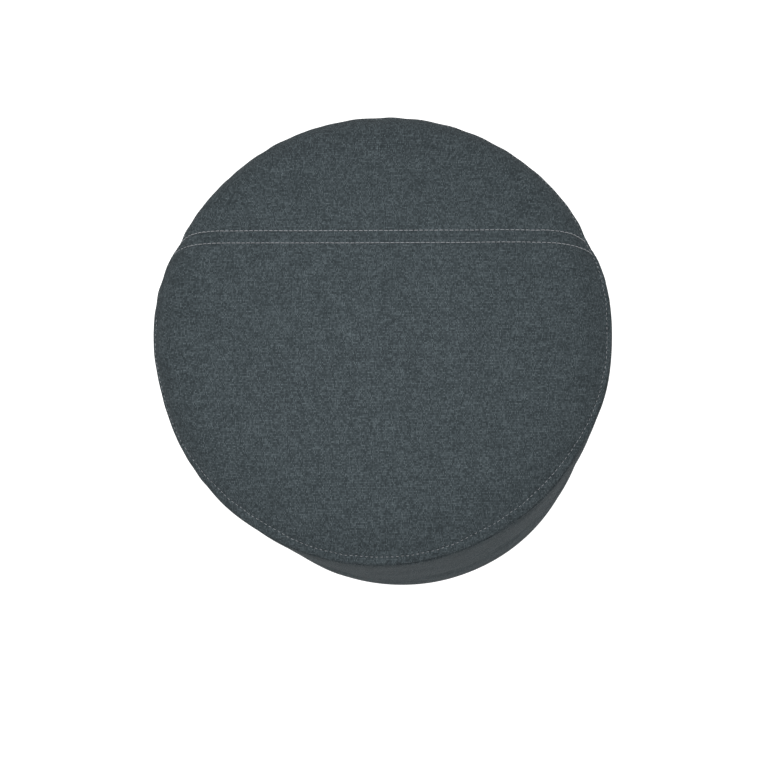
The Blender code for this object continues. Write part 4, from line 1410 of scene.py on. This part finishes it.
homes = {       # material slot: each piece with the CAD node that it stands for
    "woven_cover": [(topPanelFront, "top_panel_front"), (topPanelRear, "top_panel_rear"),
                    (sideBandFront, "side_band_front"), (sideBandRear, "side_band_rear"),
                    (zipBandLower, "zip_band_lower")],
    "base_cloth": [(basePanelPiece, "bottom_panel")],
    "topstitch_thread": [(rimTopstitch, "rim_topstitch"), (topSeamTopstitchFront, "top_seam_topstitch_front"),
                         (topSeamTopstitchRear, "top_seam_topstitch_rear")] + uprightRows
    + [(zipTopstitchUpper, "zip_topstitch_upper"), (zipTopstitchLower, "zip_topstitch_lower")],
    "zip_tape": [(zipTapeUpper, "zip_tape_upper"), (zipTapeLower, "zip_tape_lower")],
    "zip_coil": [(zipChainUpper, "zip_chain_upper"), (zipChainLower, "zip_chain_lower")],
    "zip_metal": [(zipStopClosedEnd, "zip_stop_closed_end"), (zipStopOpenEnd, "zip_stop_open_end"),
                  (zipSlider, "zip_slider"), (zipPuller, "zip_puller")],
    "lining_cloth": [(liningTop, "lining_top"), (liningSide, "lining_side"), (liningBottom, "lining_bottom")],
    "fibre_wadding": [(waddingTop, "wadding_top"), (waddingSide, "wadding_side")],
    "soft_foam": [(foamComfortLayer, "foam_comfort_layer")],
    "firm_foam": [(foamCoreUpper, "foam_core_upper"), (foamCoreLower, "foam_core_lower")],
}
for slotName, pairs in homes.items():
    for piece, node in pairs:
        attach(piece, node if node in ("zip_slider", "zip_puller") else "cushion")     # their own bodies
        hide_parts(node)
print("pieces on their bodies")


stageLook = {
    "world": 0.12,
    "glow": 1.15,           # a lit acrylic sweep: the ground stays white right up to the cushion
    "sweep": ((0.0, 0.0), (5.0, 0.0), (5.8, 0.15), (6.4, 0.6), (6.7, 1.4), (6.75, 2.0)),    # radius, height
    # power in watts, width, height, spread in degrees, place, and what it points at
    "griddedSoftbox": (7.2, 0.5, 0.5, 82, (-0.04, -0.02, 1.95), (-0.04, -0.02, 0.3)),
    "underLight": (14.0, 1.2, 1.2, 160, (0.0, 0.0, -1.5), (0.0, 0.0, 0.0)),     # only the underside sees it
}


def studio():
    mesh = bpy.data.meshes.new("studioSweep")
    shape = bmesh.new()
    verts = [shape.verts.new((r, 0, z - 0.4 * mm)) for r, z in stageLook["sweep"]]
    edges = [shape.edges.new(pair) for pair in zip(verts, verts[1:])]
    bmesh.ops.spin(shape, geom=verts + edges, axis=(0, 0, 1), cent=(0, 0, 0), angle=2 * math.pi, steps=48)
    bmesh.ops.remove_doubles(shape, verts=shape.verts, dist=1e-5)
    shape.to_mesh(mesh)
    shape.free()
    sweep = bpy.data.objects.new("studioSweep", mesh)
    bpy.context.scene.collection.objects.link(sweep)
    mesh.materials.append(grainMaterial("matteStudioAcrylic", {
        "Roughness": 0.95, "Specular IOR Level": 0.1, "Emission Color": (1, 1, 1, 1),
        "Emission Strength": stageLook["glow"]}, "#7c7c7c", "#808080", 0.4, 0.1 * mm))
    world = bpy.data.worlds.new("studio")
    bpy.context.scene.world = world
    world.use_nodes = True
    background = world.node_tree.nodes["Background"]
    background.inputs["Color"].default_value = (1.0, 1.0, 1.0, 1.0)
    background.inputs["Strength"].default_value = stageLook["world"]
    for name in ("griddedSoftbox", "underLight"):
        power, width, height, spread, place, target = stageLook[name]
        light = bpy.data.lights.new(name, "AREA")
        light.shape = "RECTANGLE"
        light.size, light.size_y = width, height
        light.spread = math.radians(spread)
        light.energy = power
        lamp = bpy.data.objects.new(name, light)
        bpy.context.scene.collection.objects.link(lamp)
        lamp.location = place
        lamp.rotation_euler = (Vector(target) - Vector(place)).to_track_quat("-Z", "Y").to_euler()


studio()

cameraView = {
    "distance": 1.75,       # from the middle of the rim circle
    "azimuth": 18.35,
    "tilt": 14.0,           # away from straight down
    "roll": -17.65,
    "focal": 1610.7,        # for a frame this wide
    "centre": (380.4, 333.6),
    "frame": 765,
    "target": (0, 0, 0.320),
}


def makeCamera():
    view = cameraView
    target = Vector(view["target"])
    azimuth, tilt, roll = (math.radians(view[k]) for k in ("azimuth", "tilt", "roll"))
    away = Vector((math.sin(tilt) * math.sin(azimuth), -math.sin(tilt) * math.cos(azimuth), math.cos(tilt)))
    right = (-away).cross(Vector((0, 0, 1))).normalized()
    up = right.cross(-away)
    turnedRight = math.cos(roll) * right + math.sin(roll) * up
    turnedUp = -math.sin(roll) * right + math.cos(roll) * up
    data = bpy.data.cameras.new("camera")
    camera = bpy.data.objects.new("camera", data)
    bpy.context.scene.collection.objects.link(camera)
    camera.matrix_world = Matrix.Translation(target + away * view["distance"]) @ \
        Matrix((turnedRight, turnedUp, away)).transposed().to_4x4()
    data.sensor_width = 36.0
    data.lens = view["focal"] / view["frame"] * 36.0
    data.shift_x = (view["frame"] / 2 - view["centre"][0]) / view["frame"]
    data.shift_y = (view["centre"][1] - view["frame"] / 2) / view["frame"]
    bpy.context.scene.camera = camera


makeCamera()
bpy.context.scene.view_settings.view_transform = "Standard"
